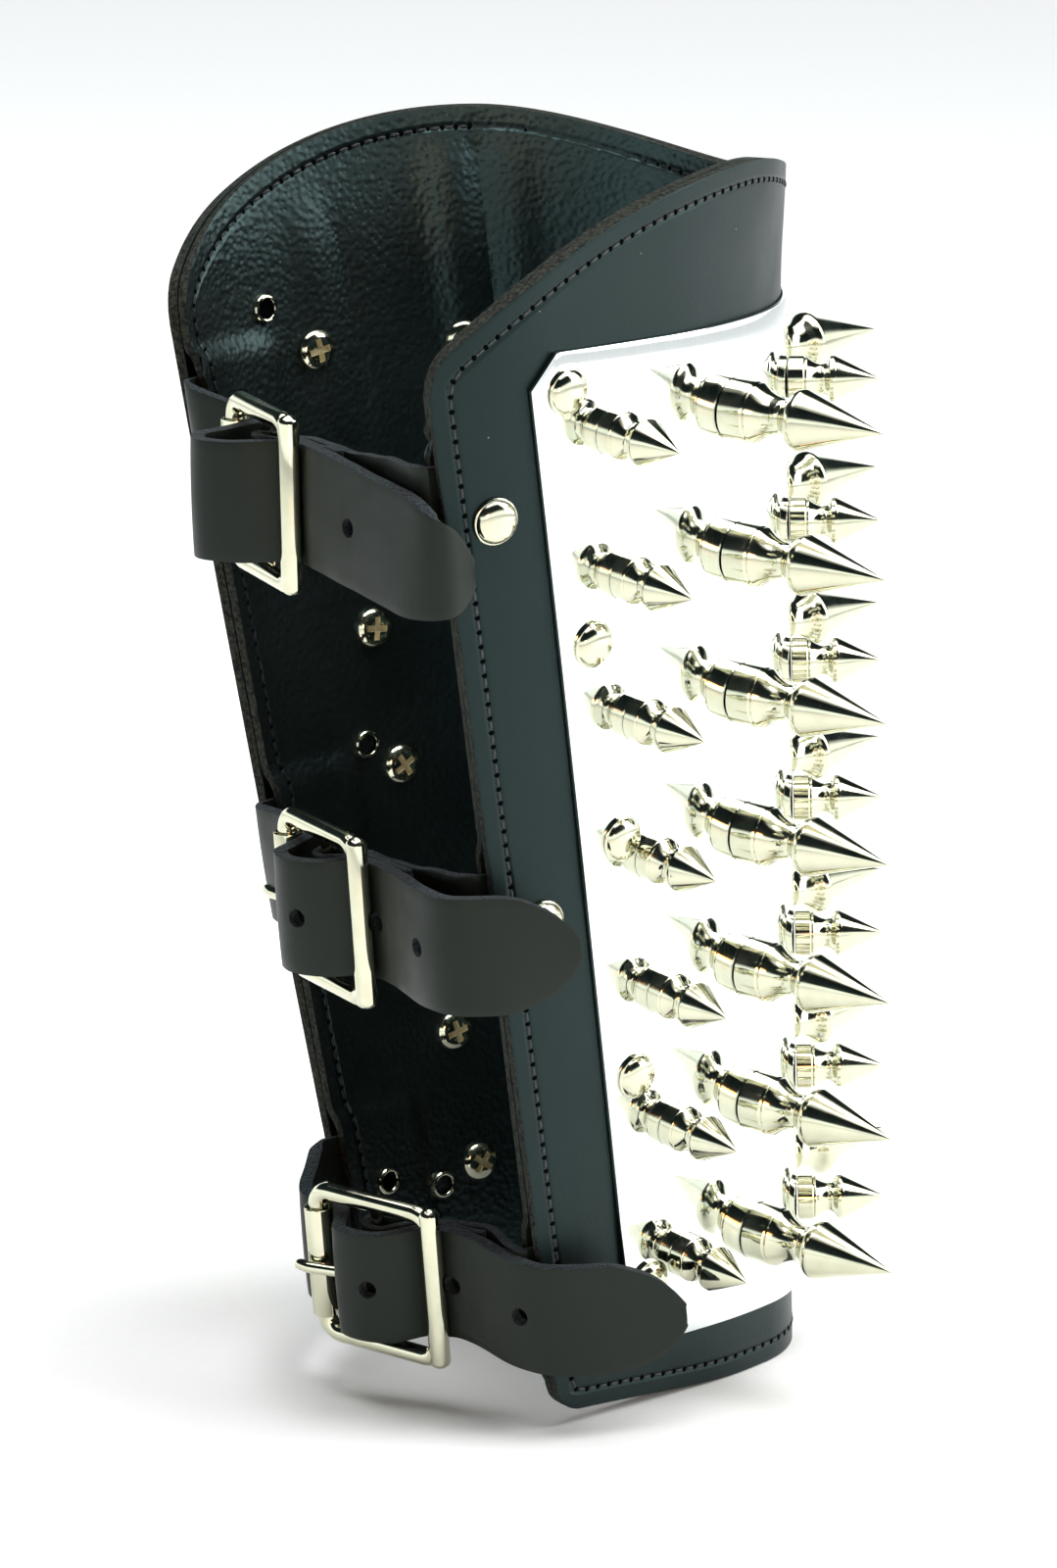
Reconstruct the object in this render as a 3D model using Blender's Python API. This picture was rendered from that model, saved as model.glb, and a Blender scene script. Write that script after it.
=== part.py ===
"""Spiked leather forearm bracer, standing on its wrist end.

Metres, +Z up. The spiked plate faces -Y and the buckled opening at the inner arm faces +Y.
The origin is on the floor, at the middle of the whole piece's box.
"""
import math
from collections import namedtuple

import bmesh
import bpy
import numpy as np
from mathutils import Matrix, Vector

MM = 0.001
CLEAR = 0.3 * MM

# Leather shell
HEIGHT = 274 * MM
GIRTH_WRIST = 211.6 * MM
GIRTH_ELBOW = 316 * MM
FRONT_LEAN = 14.3 * MM
OUTER_PLY = 2.2 * MM
LINING_PLY = 1.8 * MM
FLAP_DROP = 35.5 * MM
FRONT_DIP = 9.5 * MM
FLAP_RISE = 3 * MM
CORNER_RADIUS = 6 * MM
ELBOW_FLARE = 1.5 * MM

# Metal plate on the outside
PLATE_THICK = 1.0 * MM
PLATE_FROM_WRIST = 14.5 * MM
PLATE_FROM_ELBOW = 33 * MM
PLATE_CHAMFER = 7.5 * MM
PLATE_SHARE_WRIST = 0.802
PLATE_SHARE_ELBOW = 0.861

# Spikes
SPIKE_ROWS = 7
LOWEST_ROW_UP = 19 * MM
HIGHEST_ROW_DOWN = 18.5 * MM
SHORT_SPIKE_LENGTH = 19.5 * MM
SHORT_SPIKE_DIAMETER = 10 * MM
LONG_SPIKE_LENGTH = 36.5 * MM
LONG_SPIKE_DIAMETER = 13 * MM
SHORT_SPIKE_SIDES = 6
LONG_SPIKE_SIDES = 8

# Domed rivets
RIVET_DIAMETER = 10 * MM
RIVET_HIGH = 2.6 * MM
RIVET_SIDES = 7
STRAP_RIVET_INSET = 11 * MM

# Straps
STRAP_WIDTH = 25.4 * MM
STRAP_THICK = 3.0 * MM
SKIVED_THICK = 1.2 * MM
ANCHOR_DEPTH = 18 * MM
SKIVE_RUN = 5 * MM
TWIST_RUN = 20 * MM
BILLET_WIDTH = 24.6 * MM
BILLET_THICK = 2.0 * MM
BILLET_RETURN = 24 * MM
HOLE_DIAMETER = 4.2 * MM
HOLE_PITCH = 20 * MM
TIP_TO_HOLE = 37 * MM
POINT_LENGTH = 20 * MM
STRAP_STEP = 4.2 * MM
BILLET_STEP = 2.6 * MM
PRONG_SLOT_WIDE = 6.5 * MM

# Roller buckles
BUCKLE_LENGTH = 35 * MM
BUCKLE_TALL = 38.5 * MM
BUCKLE_WIRE = 4.2 * MM
BUCKLE_CORNER = 4.0 * MM
CENTRE_BAR = 3.2 * MM
CENTRE_BAR_SET_BACK = 1.5 * MM
ROLLER_WALL = 0.7 * MM
PRONG_WIRE = 2.6 * MM
PRONG_OVERHANG = 5 * MM

# The wall's outline from the front line (share 0) to the flap's edge (share 1 of the half girth):
# which way its outer face looks, in degrees from straight ahead. The right flap curls in more.
Turn = namedtuple("Turn", "share left_wrist left_elbow right_wrist right_elbow")
SECTION = (
    Turn(0.0, 0, 0, 0, 0),
    Turn(0.2, 30, 41, 30, 41),
    Turn(0.4, 74, 63, 74, 63),
    Turn(0.6, 84, 80, 84, 80),
    Turn(0.8, 85, 84, 90, 97),
    Turn(1.0, 88, 110, 98, 135),
)

# Spike columns, as shares of the half girth at the first and the last row.
Column = namedtuple("Column", "name wrist elbow long sides")
COLUMNS = (
    Column("centre", 0.000, 0.000, True, (1,)),
    Column("inner", 0.224, 0.213, False, (-1, 1)),
    Column("middle", 0.445, 0.462, True, (-1, 1)),
    Column("outer", 0.653, 0.713, False, (-1, 1)),
)

# A turned spike: collar, waist, shoulder and cone, as shares of its length and radius.
SPIKE_PROFILE = (
    (0.00, 1.00),
    (0.18, 1.00),
    (0.33, 0.62),
    (0.48, 1.00),
    (1.00, 0.05),
)

# A domed rivet head, as shares of its height and radius.
RIVET_PROFILE = (
    (0.00, 0.94),
    (0.30, 1.00),
    (0.72, 0.80),
    (1.00, 0.34),
)

# Rivets down each long edge of the plate: their height, as a share of the plate's, and how far
# they sit inside its edge, as a share of their own diameter.
PlateRivet = namedtuple("PlateRivet", "height inset")
PLATE_RIVETS = (
    PlateRivet(0.963, 0.90),
    PlateRivet(0.721, 0.87),
    PlateRivet(0.526, 1.10),
    PlateRivet(0.284, 0.84),
    PlateRivet(0.067, 0.64),
)

# Straps from elbow to wrist. Heights of the centre line at the right flap, the buckle, the left
# flap and the tip are shares of HEIGHT. Turn and lean of the buckle are in degrees. The other
# lengths are shares of STRAP_WIDTH: the buckle's place across, how far it stands behind the flaps'
# edges, the outward bulge of the strap in the buckle, where the strap bends behind the left flap's
# edge, and where its tip ends past that edge and off the flap's face.
Strap = namedtuple("Strap", "name right buckle left tip turn lean across back bulge "
                            "bend bend_off past off holes")
STRAPS = (
    Strap("top", 0.763, 0.745, 0.755, 0.720, -12, 2, 0.14, 0.32, 0.53, 0.26, 0.06, 0.13, 0.05, 2),
    Strap("middle", 0.416, 0.418, 0.430, 0.420, -5, 5, -0.18, 0.58, 0.33, 0.52, 0.12, 0.46, 0.40, 3),
    Strap("bottom", 0.125, 0.108, 0.112, 0.097, 18, 8, -0.24, 0.74, 0.26, 0.10, 0.08, 1.00, 0.52, 3),
)

LEFT, RIGHT = -1, 1
SIDE_NAMES = {LEFT: "left", RIGHT: "right"}

# Sizes that follow from the ones above
PLATE_LOW = PLATE_FROM_WRIST
PLATE_HIGH = HEIGHT - PLATE_FROM_ELBOW
LOWEST_ROW = PLATE_LOW + LOWEST_ROW_UP
HIGHEST_ROW = PLATE_HIGH - HIGHEST_ROW_DOWN
PLATE_BACK = CLEAR
PLATE_FACE = PLATE_BACK + PLATE_THICK
SEAT = 1.6 * CLEAR
LINING_FACE = -(OUTER_PLY + CLEAR)
ANCHOR_MIDDLE = -(OUTER_PLY + 2 * CLEAR + SKIVED_THICK / 2)
POCKET = SKIVED_THICK + 2.7 * CLEAR
POCKET_MARGIN = 1.5 * MM
POCKET_RUN = 5 * MM


def blend(low, high, share):
    return low + (high - low) * share


def smooth(value):
    value = min(max(value, 0.0), 1.0)
    return value * value * (3 - 2 * value)


def half_girth(z):
    return blend(GIRTH_WRIST, GIRTH_ELBOW, z / HEIGHT) / 2


def wall_turn(side, shares, z):
    """Angles of the wall's outer face, in radians from straight ahead."""
    known = [row.share for row in SECTION]
    if side < 0:
        wrist, elbow = [row.left_wrist for row in SECTION], [row.left_elbow for row in SECTION]
    else:
        wrist, elbow = [row.right_wrist for row in SECTION], [row.right_elbow for row in SECTION]
    low, high = np.interp(shares, known, wrist), np.interp(shares, known, elbow)
    return np.radians(blend(low, high, z / HEIGHT))


def wall_point(arc, z, out=0.0):
    """A point `out` off the leather's outer face, at a signed arc from the front line (+ is right)."""
    side = math.copysign(1.0, arc)
    half = half_girth(z)
    pieces = 40
    middles = (np.arange(pieces) + 0.5) * abs(arc) / pieces
    turns = wall_turn(side, middles / half, z)
    end = float(wall_turn(side, abs(arc) / half, z))
    flare = ELBOW_FLARE * smooth((z - PLATE_HIGH) / (HEIGHT - PLATE_HIGH))
    reach = out + flare
    x = side * (np.cos(turns).sum() * abs(arc) / pieces + reach * math.sin(end))
    y = np.sin(turns).sum() * abs(arc) / pieces - reach * math.cos(end)
    return Vector((x, y + FRONT_LEAN * z / HEIGHT, z))


def wall_frame(arc, z, out=0.0):
    """Place and turn of a piece that stands on the wall, its own +Z pointing outwards."""
    step = 1 * MM
    across = wall_point(arc + step, z, out) - wall_point(arc - step, z, out)
    up = wall_point(arc, z + step, out) - wall_point(arc, z - step, out)
    outward = across.cross(up).normalized()
    across.normalize()
    turn = Matrix((across, outward.cross(across), outward)).transposed().to_4x4()
    return Matrix.Translation(wall_point(arc, z, out)) @ turn


def rounding(from_edge):
    """How far the outline is cut back near a rounded flap corner."""
    inside = min(max(CORNER_RADIUS - from_edge, 0.0), CORNER_RADIUS)
    return CORNER_RADIUS - math.sqrt(CORNER_RADIUS ** 2 - inside ** 2)


def leather_low(share):
    rise = FLAP_RISE * smooth((abs(share) - 0.5) / 0.5)
    return rise + rounding((1 - abs(share)) * GIRTH_WRIST / 2)


def leather_high(share):
    fall = FLAP_DROP * max((abs(share) - 0.4) / 0.6, 0.0) ** 2
    dip = FRONT_DIP * smooth(1 - abs(share) / 0.4)
    return HEIGHT - fall - dip - rounding((1 - abs(share)) * GIRTH_ELBOW / 2)


def leather_shares(columns):
    """Shares of the half girth from flap to flap, closer together round the corners."""
    corner = CORNER_RADIUS / (GIRTH_WRIST / 2)
    inner = np.linspace(-(1 - corner), 1 - corner, columns + 1)
    edge = [1 - corner * step for step in (0.6, 0.2, 0.0)]
    return [-share for share in reversed(edge)] + list(inner) + edge


def material(name, colour, roughness, metallic=0.0):
    made = bpy.data.materials.get(name) or bpy.data.materials.new(name)
    made.use_nodes = True
    shader = made.node_tree.nodes["Principled BSDF"]
    shader.inputs["Base Color"].default_value = (*colour, 1.0)
    shader.inputs["Roughness"].default_value = roughness
    shader.inputs["Metallic"].default_value = metallic
    return made


def smooth_leather():
    return material("smooth_black_leather", (0.012, 0.016, 0.018), 0.35)


def lining_leather():
    return material("pebbled_black_leather", (0.010, 0.010, 0.010), 0.30)


def strap_leather():
    return material("black_strap_leather", (0.030, 0.028, 0.025), 0.45)


def bright_nickel():
    return material("bright_nickel", (0.75, 0.73, 0.66), 0.12, 1.0)


def mirror_metal():
    return material("mirror_metal", (0.90, 0.92, 0.92), 0.05, 1.0)


def add_object(name, mesh_data, finish, parent):
    piece = bpy.data.objects.new(name, mesh_data)
    piece.data.materials.append(finish)
    piece.parent = parent
    bpy.context.scene.collection.objects.link(piece)
    return piece


def mesh_from(name, points, faces):
    """A closed mesh with its faces pointing outwards."""
    shape = bmesh.new()
    corners = [shape.verts.new(point) for point in points]
    for face in faces:
        shape.faces.new([corners[index] for index in face])
    bmesh.ops.recalc_face_normals(shape, faces=shape.faces)
    made = bpy.data.meshes.new(name)
    shape.to_mesh(made)
    shape.free()
    return made


def slab_mesh(name, columns, rows, outer_point, inner_point):
    """A closed slab over a grid, from its outer face to its inner face."""
    points = [outer_point(i, j) for i in range(columns) for j in range(rows)]
    points += [inner_point(i, j) for i in range(columns) for j in range(rows)]
    back = columns * rows

    def at(i, j, layer=0):
        return i * rows + j + layer * back

    faces = []
    for i in range(columns - 1):
        for j in range(rows - 1):
            faces.append((at(i, j), at(i + 1, j), at(i + 1, j + 1), at(i, j + 1)))
            faces.append((at(i, j, 1), at(i, j + 1, 1), at(i + 1, j + 1, 1), at(i + 1, j, 1)))
    for i in range(columns - 1):
        for j in (0, rows - 1):
            faces.append((at(i, j), at(i + 1, j), at(i + 1, j, 1), at(i, j, 1)))
    for j in range(rows - 1):
        for i in (0, columns - 1):
            faces.append((at(i, j), at(i, j + 1), at(i, j + 1, 1), at(i, j, 1)))
    return mesh_from(name, points, faces)


def turned_mesh(name, profile, length, radius, sides, sunk=0.0):
    """A turned piece on its own +Z axis; its foot may be sunk below z = 0."""
    points = []
    for along, wide in profile:
        z = along * length if along > 0 else -sunk
        for k in range(sides):
            angle = 2 * math.pi * k / sides
            points.append((wide * radius * math.cos(angle), wide * radius * math.sin(angle), z))
    faces = [tuple(range(sides)), tuple(range(len(points) - sides, len(points)))]
    for ring in range(len(profile) - 1):
        for k in range(sides):
            a, b = ring * sides + k, ring * sides + (k + 1) % sides
            faces.append((a, b, b + sides, a + sides))
    return mesh_from(name, points, faces)


def tube_mesh(name, route, radius, sides, closed=False):
    """A round wire along a route of points, closed into a ring or with flat ends."""
    count = len(route)
    points = []
    for k, centre in enumerate(route):
        before = route[(k - 1) % count] if closed or k > 0 else route[k]
        after = route[(k + 1) % count] if closed or k < count - 1 else route[k]
        along = (after - before).normalized()
        first = along.orthogonal() if k == 0 else first - along * first.dot(along)
        first.normalize()
        second = along.cross(first)
        for side in range(sides):
            angle = 2 * math.pi * (side + 0.5) / sides
            points.append(centre + radius * (math.cos(angle) * first + math.sin(angle) * second))
    faces = []
    for k in range(count if closed else count - 1):
        for side in range(sides):
            a, b = k * sides + side, k * sides + (side + 1) % sides
            c, d = ((k + 1) % count) * sides + (side + 1) % sides, ((k + 1) % count) * sides + side
            faces.append((a, b, c, d))
    if not closed:
        faces.append(tuple(range(sides)))
        faces.append(tuple(range(len(points) - sides, len(points))))
    return mesh_from(name, points, faces)


def joined_mesh(name, meshes_and_places):
    """Several placed meshes in one mesh, as a tool for a Boolean."""
    shape = bmesh.new()
    for source, place in meshes_and_places:
        part = source.copy()
        part.transform(place)
        shape.from_mesh(part)
        bpy.data.meshes.remove(part)
    made = bpy.data.meshes.new(name)
    shape.to_mesh(made)
    shape.free()
    return made


def combine(piece, operation, tool_mesh, finish):
    """Boolean with a hidden tool that stays editable."""
    tool = add_object(f"{piece.name}_{tool_mesh.name}", tool_mesh, finish, piece.parent)
    tool.matrix_basis = piece.matrix_basis
    tool.hide_render = True
    tool.display_type = "WIRE"
    cut = piece.modifiers.new(tool_mesh.name, "BOOLEAN")
    cut.operation = operation
    cut.solver = "EXACT"
    cut.object = tool


def row_height(row):
    """Height of a spike row; row 1 is the highest."""
    return blend(HIGHEST_ROW, LOWEST_ROW, (row - 1) / (SPIKE_ROWS - 1))


def column_arc(column, side, row):
    share = blend(column.elbow, column.wrist, (row - 1) / (SPIKE_ROWS - 1))
    return side * share * half_girth(row_height(row))


def wall_levels():
    """Heights, at the left and the right flap, where the plies bend: over the strap ends and
    where the elbow end starts to flare."""
    levels = [(PLATE_HIGH, PLATE_HIGH)]
    full = STRAP_WIDTH / 2 + POCKET_MARGIN
    gone = full + POCKET_RUN
    for strap in reversed(STRAPS):
        for off in (-gone, -full, full, gone):
            levels.append((strap.left * HEIGHT + off, strap.right * HEIGHT + off))
    return sorted(levels)


def pocket_depth(share, z):
    """How far a strap end between the plies pushes the lining inwards."""
    from_edge = (1 - abs(share)) * GIRTH_WRIST / 2
    across = smooth((ANCHOR_DEPTH + POCKET_MARGIN + POCKET_RUN - from_edge) / POCKET_RUN)
    deepest = 0.0
    for strap in STRAPS:
        centre = blend(strap.left, strap.right, (1 + share) / 2) * HEIGHT
        off = abs(z - centre) - STRAP_WIDTH / 2 - POCKET_MARGIN
        deepest = max(deepest, smooth(1 - off / POCKET_RUN))
    return POCKET * across * deepest


def add_ply(name, face, back, levels, finish, body, pocketed=False):
    """One leather ply between two depths, negative inwards."""
    edge = 1 - (ANCHOR_DEPTH + POCKET_MARGIN) / (GIRTH_WRIST / 2)
    halfway = (edge + 1 - CORNER_RADIUS / (GIRTH_WRIST / 2)) / 2
    shares = sorted(leather_shares(16) + [-edge, -halfway, halfway, edge])
    least = 0.5 * MM
    count = len(levels) + 2

    def height(share, j):
        low, high = leather_low(share), leather_high(share)
        if j == 0:
            return low
        if j == count - 1:
            return high
        level = blend(*levels[j - 1], (1 + share) / 2)
        return min(max(level, low + j * least), high - (count - 1 - j) * least)

    def point(depth):
        def at(i, j):
            z = height(shares[i], j)
            push = pocket_depth(shares[i], z) if pocketed else 0.0
            return wall_point(shares[i] * half_girth(z), z, depth - push)
        return at

    made = slab_mesh(name, len(shares), count, point(face), point(back))
    return add_object(name, made, finish, body)


def add_shell(body):
    levels = wall_levels()
    add_ply("leather_outer", 0.0, -OUTER_PLY, levels, smooth_leather(), body)
    add_ply("leather_lining", LINING_FACE, LINING_FACE - LINING_PLY, levels, lining_leather(), body,
            pocketed=True)


def plate_edge(z):
    return blend(PLATE_SHARE_WRIST, PLATE_SHARE_ELBOW, z / HEIGHT) * half_girth(z)


def add_plate(body):
    """The plate, with the short spikes fused to it."""
    corner = 1 - PLATE_CHAMFER / plate_edge(PLATE_HIGH)
    inner = list(np.linspace(-corner, corner, 27))
    shares = [-1.0] + inner + [1.0]
    rows = 6

    def point(depth):
        def at(i, j):
            cut = PLATE_CHAMFER if abs(shares[i]) > corner + 1e-6 else 0.0
            z = blend(PLATE_LOW, PLATE_HIGH - cut, j / (rows - 1))
            return wall_point(shares[i] * plate_edge(z), z, depth)
        return at

    name = "plate_and_short_spikes"
    made = slab_mesh(name, len(shares), rows, point(PLATE_FACE), point(PLATE_BACK))
    plate = add_object(name, made, mirror_metal(), body)
    spike = turned_mesh("short_spike", SPIKE_PROFILE, SHORT_SPIKE_LENGTH, SHORT_SPIKE_DIAMETER / 2,
                        SHORT_SPIKE_SIDES, sunk=0.6 * PLATE_THICK)
    places = []
    for column in COLUMNS:
        if column.long:
            continue
        for side in column.sides:
            for row in range(1, SPIKE_ROWS + 1):
                arc = column_arc(column, side, row)
                places.append((spike, wall_frame(arc, row_height(row), PLATE_FACE)))
    combine(plate, "UNION", joined_mesh("short_spikes", places), bright_nickel())


def add_long_spikes(body):
    spike = turned_mesh("long_spike", SPIKE_PROFILE, LONG_SPIKE_LENGTH, LONG_SPIKE_DIAMETER / 2,
                        LONG_SPIKE_SIDES)
    for column in COLUMNS:
        if not column.long:
            continue
        for side in column.sides:
            for row in range(1, SPIKE_ROWS + 1):
                where = column.name if len(column.sides) == 1 else SIDE_NAMES[side]
                piece = add_object(f"long_spike_{where}_{row}", spike.copy(), bright_nickel(), body)
                arc = column_arc(column, side, row)
                piece.matrix_basis = wall_frame(arc, row_height(row), PLATE_FACE + SEAT)


def add_rivets(body):
    head = turned_mesh("rivet", RIVET_PROFILE, RIVET_HIGH, RIVET_DIAMETER / 2, RIVET_SIDES)
    for side in (LEFT, RIGHT):
        for number, rivet in enumerate(PLATE_RIVETS, start=1):
            z = blend(PLATE_LOW, PLATE_HIGH, rivet.height)
            arc = side * (plate_edge(z) - rivet.inset * RIVET_DIAMETER)
            piece = add_object(f"plate_rivet_{SIDE_NAMES[side]}_{number}", head.copy(),
                               bright_nickel(), body)
            piece.matrix_basis = wall_frame(arc, z, PLATE_FACE + SEAT)
        for strap in STRAPS:
            z = (strap.right if side == RIGHT else strap.left) * HEIGHT
            arc = side * (half_girth(z) - STRAP_RIVET_INSET)
            piece = add_object(f"strap_rivet_{SIDE_NAMES[side]}_{strap.name}", head.copy(),
                               bright_nickel(), body)
            piece.matrix_basis = wall_frame(arc, z, SEAT)


def buckle_place(strap):
    """The buckle's own frame: +X along the strap to the roller, +Y outwards, +Z up the bars."""
    z = strap.buckle * HEIGHT
    edge = wall_point(half_girth(z), z)
    centre = Vector((strap.across * STRAP_WIDTH, edge.y + strap.back * STRAP_WIDTH, z))
    turn = Matrix.Rotation(math.radians(strap.turn), 4, "Z")
    lean = Matrix.Rotation(math.radians(-strap.lean), 4, "X")
    return Matrix.Translation(centre) @ turn @ lean


END_BAR = BUCKLE_LENGTH / 2 - BUCKLE_WIRE / 2
RAIL = BUCKLE_TALL / 2 - BUCKLE_WIRE / 2
ROLLER_SIDES = 10
ROLLER_BORE = (BUCKLE_WIRE / 2 + CLEAR) / math.cos(math.pi / ROLLER_SIDES)
ROLLER_RADIUS = ROLLER_BORE + ROLLER_WALL
PRONG_WRAP = CENTRE_BAR / 2 + CLEAR + PRONG_WIRE / 2
PRONG_TOP = ROLLER_RADIUS + CLEAR + PRONG_WIRE / 2


def rounded_frame_route():
    route = []
    for quarter in range(4):
        mid = math.radians(45 + 90 * quarter)
        corner_x = math.copysign(END_BAR - BUCKLE_CORNER, math.cos(mid))
        corner_z = math.copysign(RAIL - BUCKLE_CORNER, math.sin(mid))
        for step in (-45, 0, 45):
            angle = mid + math.radians(step)
            route.append(Vector((corner_x + BUCKLE_CORNER * math.cos(angle), 0.0,
                                 corner_z + BUCKLE_CORNER * math.sin(angle))))
    return route


def prong_route():
    """The prong is a wire bent round the centre bar, its tip resting on the roller."""
    route = []
    for angle in (-50, -90, -135, -180, -225, -270):
        turn = math.radians(angle)
        route.append(Vector((PRONG_WRAP * math.cos(turn),
                             PRONG_WRAP * math.sin(turn) - CENTRE_BAR_SET_BACK, 0.0)))
    route.append(Vector((END_BAR, PRONG_TOP, 0.0)))
    route.append(Vector((END_BAR + PRONG_OVERHANG, PRONG_TOP - 0.2 * MM, 0.0)))
    return route


def add_buckle(strap, body):
    place = buckle_place(strap)
    ring = tube_mesh("buckle_ring", rounded_frame_route(), BUCKLE_WIRE / 2, 8, closed=True)
    frame = add_object(f"buckle_frame_{strap.name}", ring, bright_nickel(), body)
    ends = [Vector((0.0, -CENTRE_BAR_SET_BACK, -RAIL)), Vector((0.0, -CENTRE_BAR_SET_BACK, RAIL))]
    bar = tube_mesh("centre_bar", ends, CENTRE_BAR / 2, 8)
    frame.matrix_basis = place
    combine(frame, "UNION", bar, bright_nickel())

    half = RAIL - BUCKLE_CORNER - CLEAR
    points = []
    for radius in (ROLLER_RADIUS, ROLLER_BORE):
        for z in (-half, half):
            for k in range(ROLLER_SIDES):
                angle = 2 * math.pi * k / ROLLER_SIDES
                points.append((END_BAR + radius * math.cos(angle), radius * math.sin(angle), z))
    faces = []
    for k in range(ROLLER_SIDES):
        a, b = k, (k + 1) % ROLLER_SIDES
        low, high, bore_low, bore_high = (n * ROLLER_SIDES for n in range(4))
        faces.append((a + low, b + low, b + high, a + high))
        faces.append((a + bore_low, b + bore_low, b + bore_high, a + bore_high))
        faces.append((a + low, b + low, b + bore_low, a + bore_low))
        faces.append((a + high, b + high, b + bore_high, a + bore_high))
    roller = add_object(f"buckle_roller_{strap.name}", mesh_from("roller", points, faces),
                        bright_nickel(), body)
    roller.matrix_basis = place

    prong = add_object(f"buckle_prong_{strap.name}",
                       tube_mesh("prong", prong_route(), PRONG_WIRE / 2, 8), bright_nickel(), body)
    prong.matrix_basis = place


def smooth_route(knots, step):
    """Evenly spaced points on a smooth curve through the knots."""
    ends = [knots[0] * 2 - knots[1]] + knots + [knots[-1] * 2 - knots[-2]]
    fine = []
    for k in range(1, len(ends) - 2):
        a, b, c, d = ends[k - 1:k + 3]
        for part in np.linspace(0, 1, 16, endpoint=False):
            fine.append(0.5 * (2 * b + (c - a) * part + (2 * a - 5 * b + 4 * c - d) * part ** 2
                               + (3 * b - a - 3 * c + d) * part ** 3))
    fine.append(knots[-1])
    lengths = [0.0]
    for before, after in zip(fine, fine[1:]):
        lengths.append(lengths[-1] + (after - before).length)
    count = max(2, round(lengths[-1] / step))
    wanted = np.linspace(0, lengths[-1], count + 1)
    sampled = [np.interp(wanted, lengths, [point[axis] for point in fine]) for axis in range(3)]
    return [Vector(values) for values in zip(*sampled)], lengths[-1] / count


def ribbon_mesh(name, route, up_at, half_width, half_thick):
    """A flat strap along a route; the three functions take the distance from its start."""
    points = []
    count = len(route)
    gone = 0.0
    for k, centre in enumerate(route):
        along = (route[min(k + 1, count - 1)] - route[max(k - 1, 0)]).normalized()
        gone += (centre - route[k - 1]).length if k else 0.0
        up = up_at(gone)
        out = along.cross(up).normalized()
        wide, thick = half_width(gone) * up, half_thick(gone) * out
        points += [centre - wide - thick, centre - wide + thick, centre + wide + thick,
                   centre + wide - thick]
    faces = [(0, 1, 2, 3), tuple(range(4 * count - 4, 4 * count))]
    for k in range(count - 1):
        for side in range(4):
            a, b = 4 * k + side, 4 * k + (side + 1) % 4
            faces.append((a, b, b + 4, a + 4))
    return mesh_from(name, points, faces)


def buckle_up(strap):
    return buckle_place(strap).to_3x3() @ Vector((0, 0, 1))


def flap_up(side, z):
    """The way up along a flap, close to its edge."""
    step = STRAP_WIDTH / 2
    share = 1 - ANCHOR_DEPTH / 2 / half_girth(z)
    high = wall_point(side * share * half_girth(z + step), z + step)
    return (high - wall_point(side * share * half_girth(z - step), z - step)).normalized()


def anchored_knots(side, z, beyond):
    """From deep between the plies to just beyond the flap's edge."""
    return [wall_point(side * (half_girth(z) - inset), z, ANCHOR_MIDDLE)
            for inset in (ANCHOR_DEPTH, ANCHOR_DEPTH / 2, 0.0, -beyond)]


def turning_knot(start, end, backwards):
    """Where a strap that leaves a flap backwards has turned half way towards the buckle."""
    return start.lerp(end, 0.3) + Vector((0.0, backwards, 0.0))


def tail_knots(strap):
    """The tail strap's centre line, from the right flap through the buckle to its tip."""
    place = buckle_place(strap)
    half = STRAP_THICK / 2
    bulge = strap.bulge * STRAP_WIDTH
    under_roller = -(ROLLER_RADIUS + CLEAR + half)
    under_keeper = -(BUCKLE_WIRE / 2 + CLEAR + half)
    knots = anchored_knots(RIGHT, strap.right * HEIGHT, 5 * MM)
    knots.append(turning_knot(knots[-1], place @ Vector((END_BAR + 8 * MM, under_roller, 0.0)), 1 * MM))
    knots.append(place @ Vector((END_BAR + 8 * MM, under_roller - 0.6 * MM, 0.0)))
    around = -under_roller + 0.3 * MM
    for angle in (-90, -120, -150):
        turn = math.radians(angle)
        knots.append(place @ Vector((END_BAR + around * math.cos(turn), around * math.sin(turn), 0.0)))
    for x, y in (
        (0.46 * END_BAR, 0.50 * bulge),
        (0.32 * END_BAR, 0.92 * bulge),
        (-0.06 * END_BAR, bulge),
        (-0.42 * END_BAR, 0.60 * bulge),
        (-0.72 * END_BAR, under_keeper + 1.6 * MM),
        (-END_BAR, under_keeper),
        (-END_BAR - 7 * MM, under_keeper - 0.3 * MM),
    ):
        knots.append(place @ Vector((x, y, 0.0)))
    z = strap.tip * HEIGHT
    seat = CLEAR + half
    level = blend(strap.buckle, strap.tip, 0.6) * HEIGHT
    bend = half_girth(level) + strap.bend * STRAP_WIDTH
    knots.append(wall_point(LEFT * bend, level, seat + strap.bend_off * STRAP_WIDTH))
    ending = half_girth(z) - strap.past * STRAP_WIDTH
    knots.append(wall_point(LEFT * ending, z, seat + strap.off * STRAP_WIDTH))
    return knots


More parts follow.
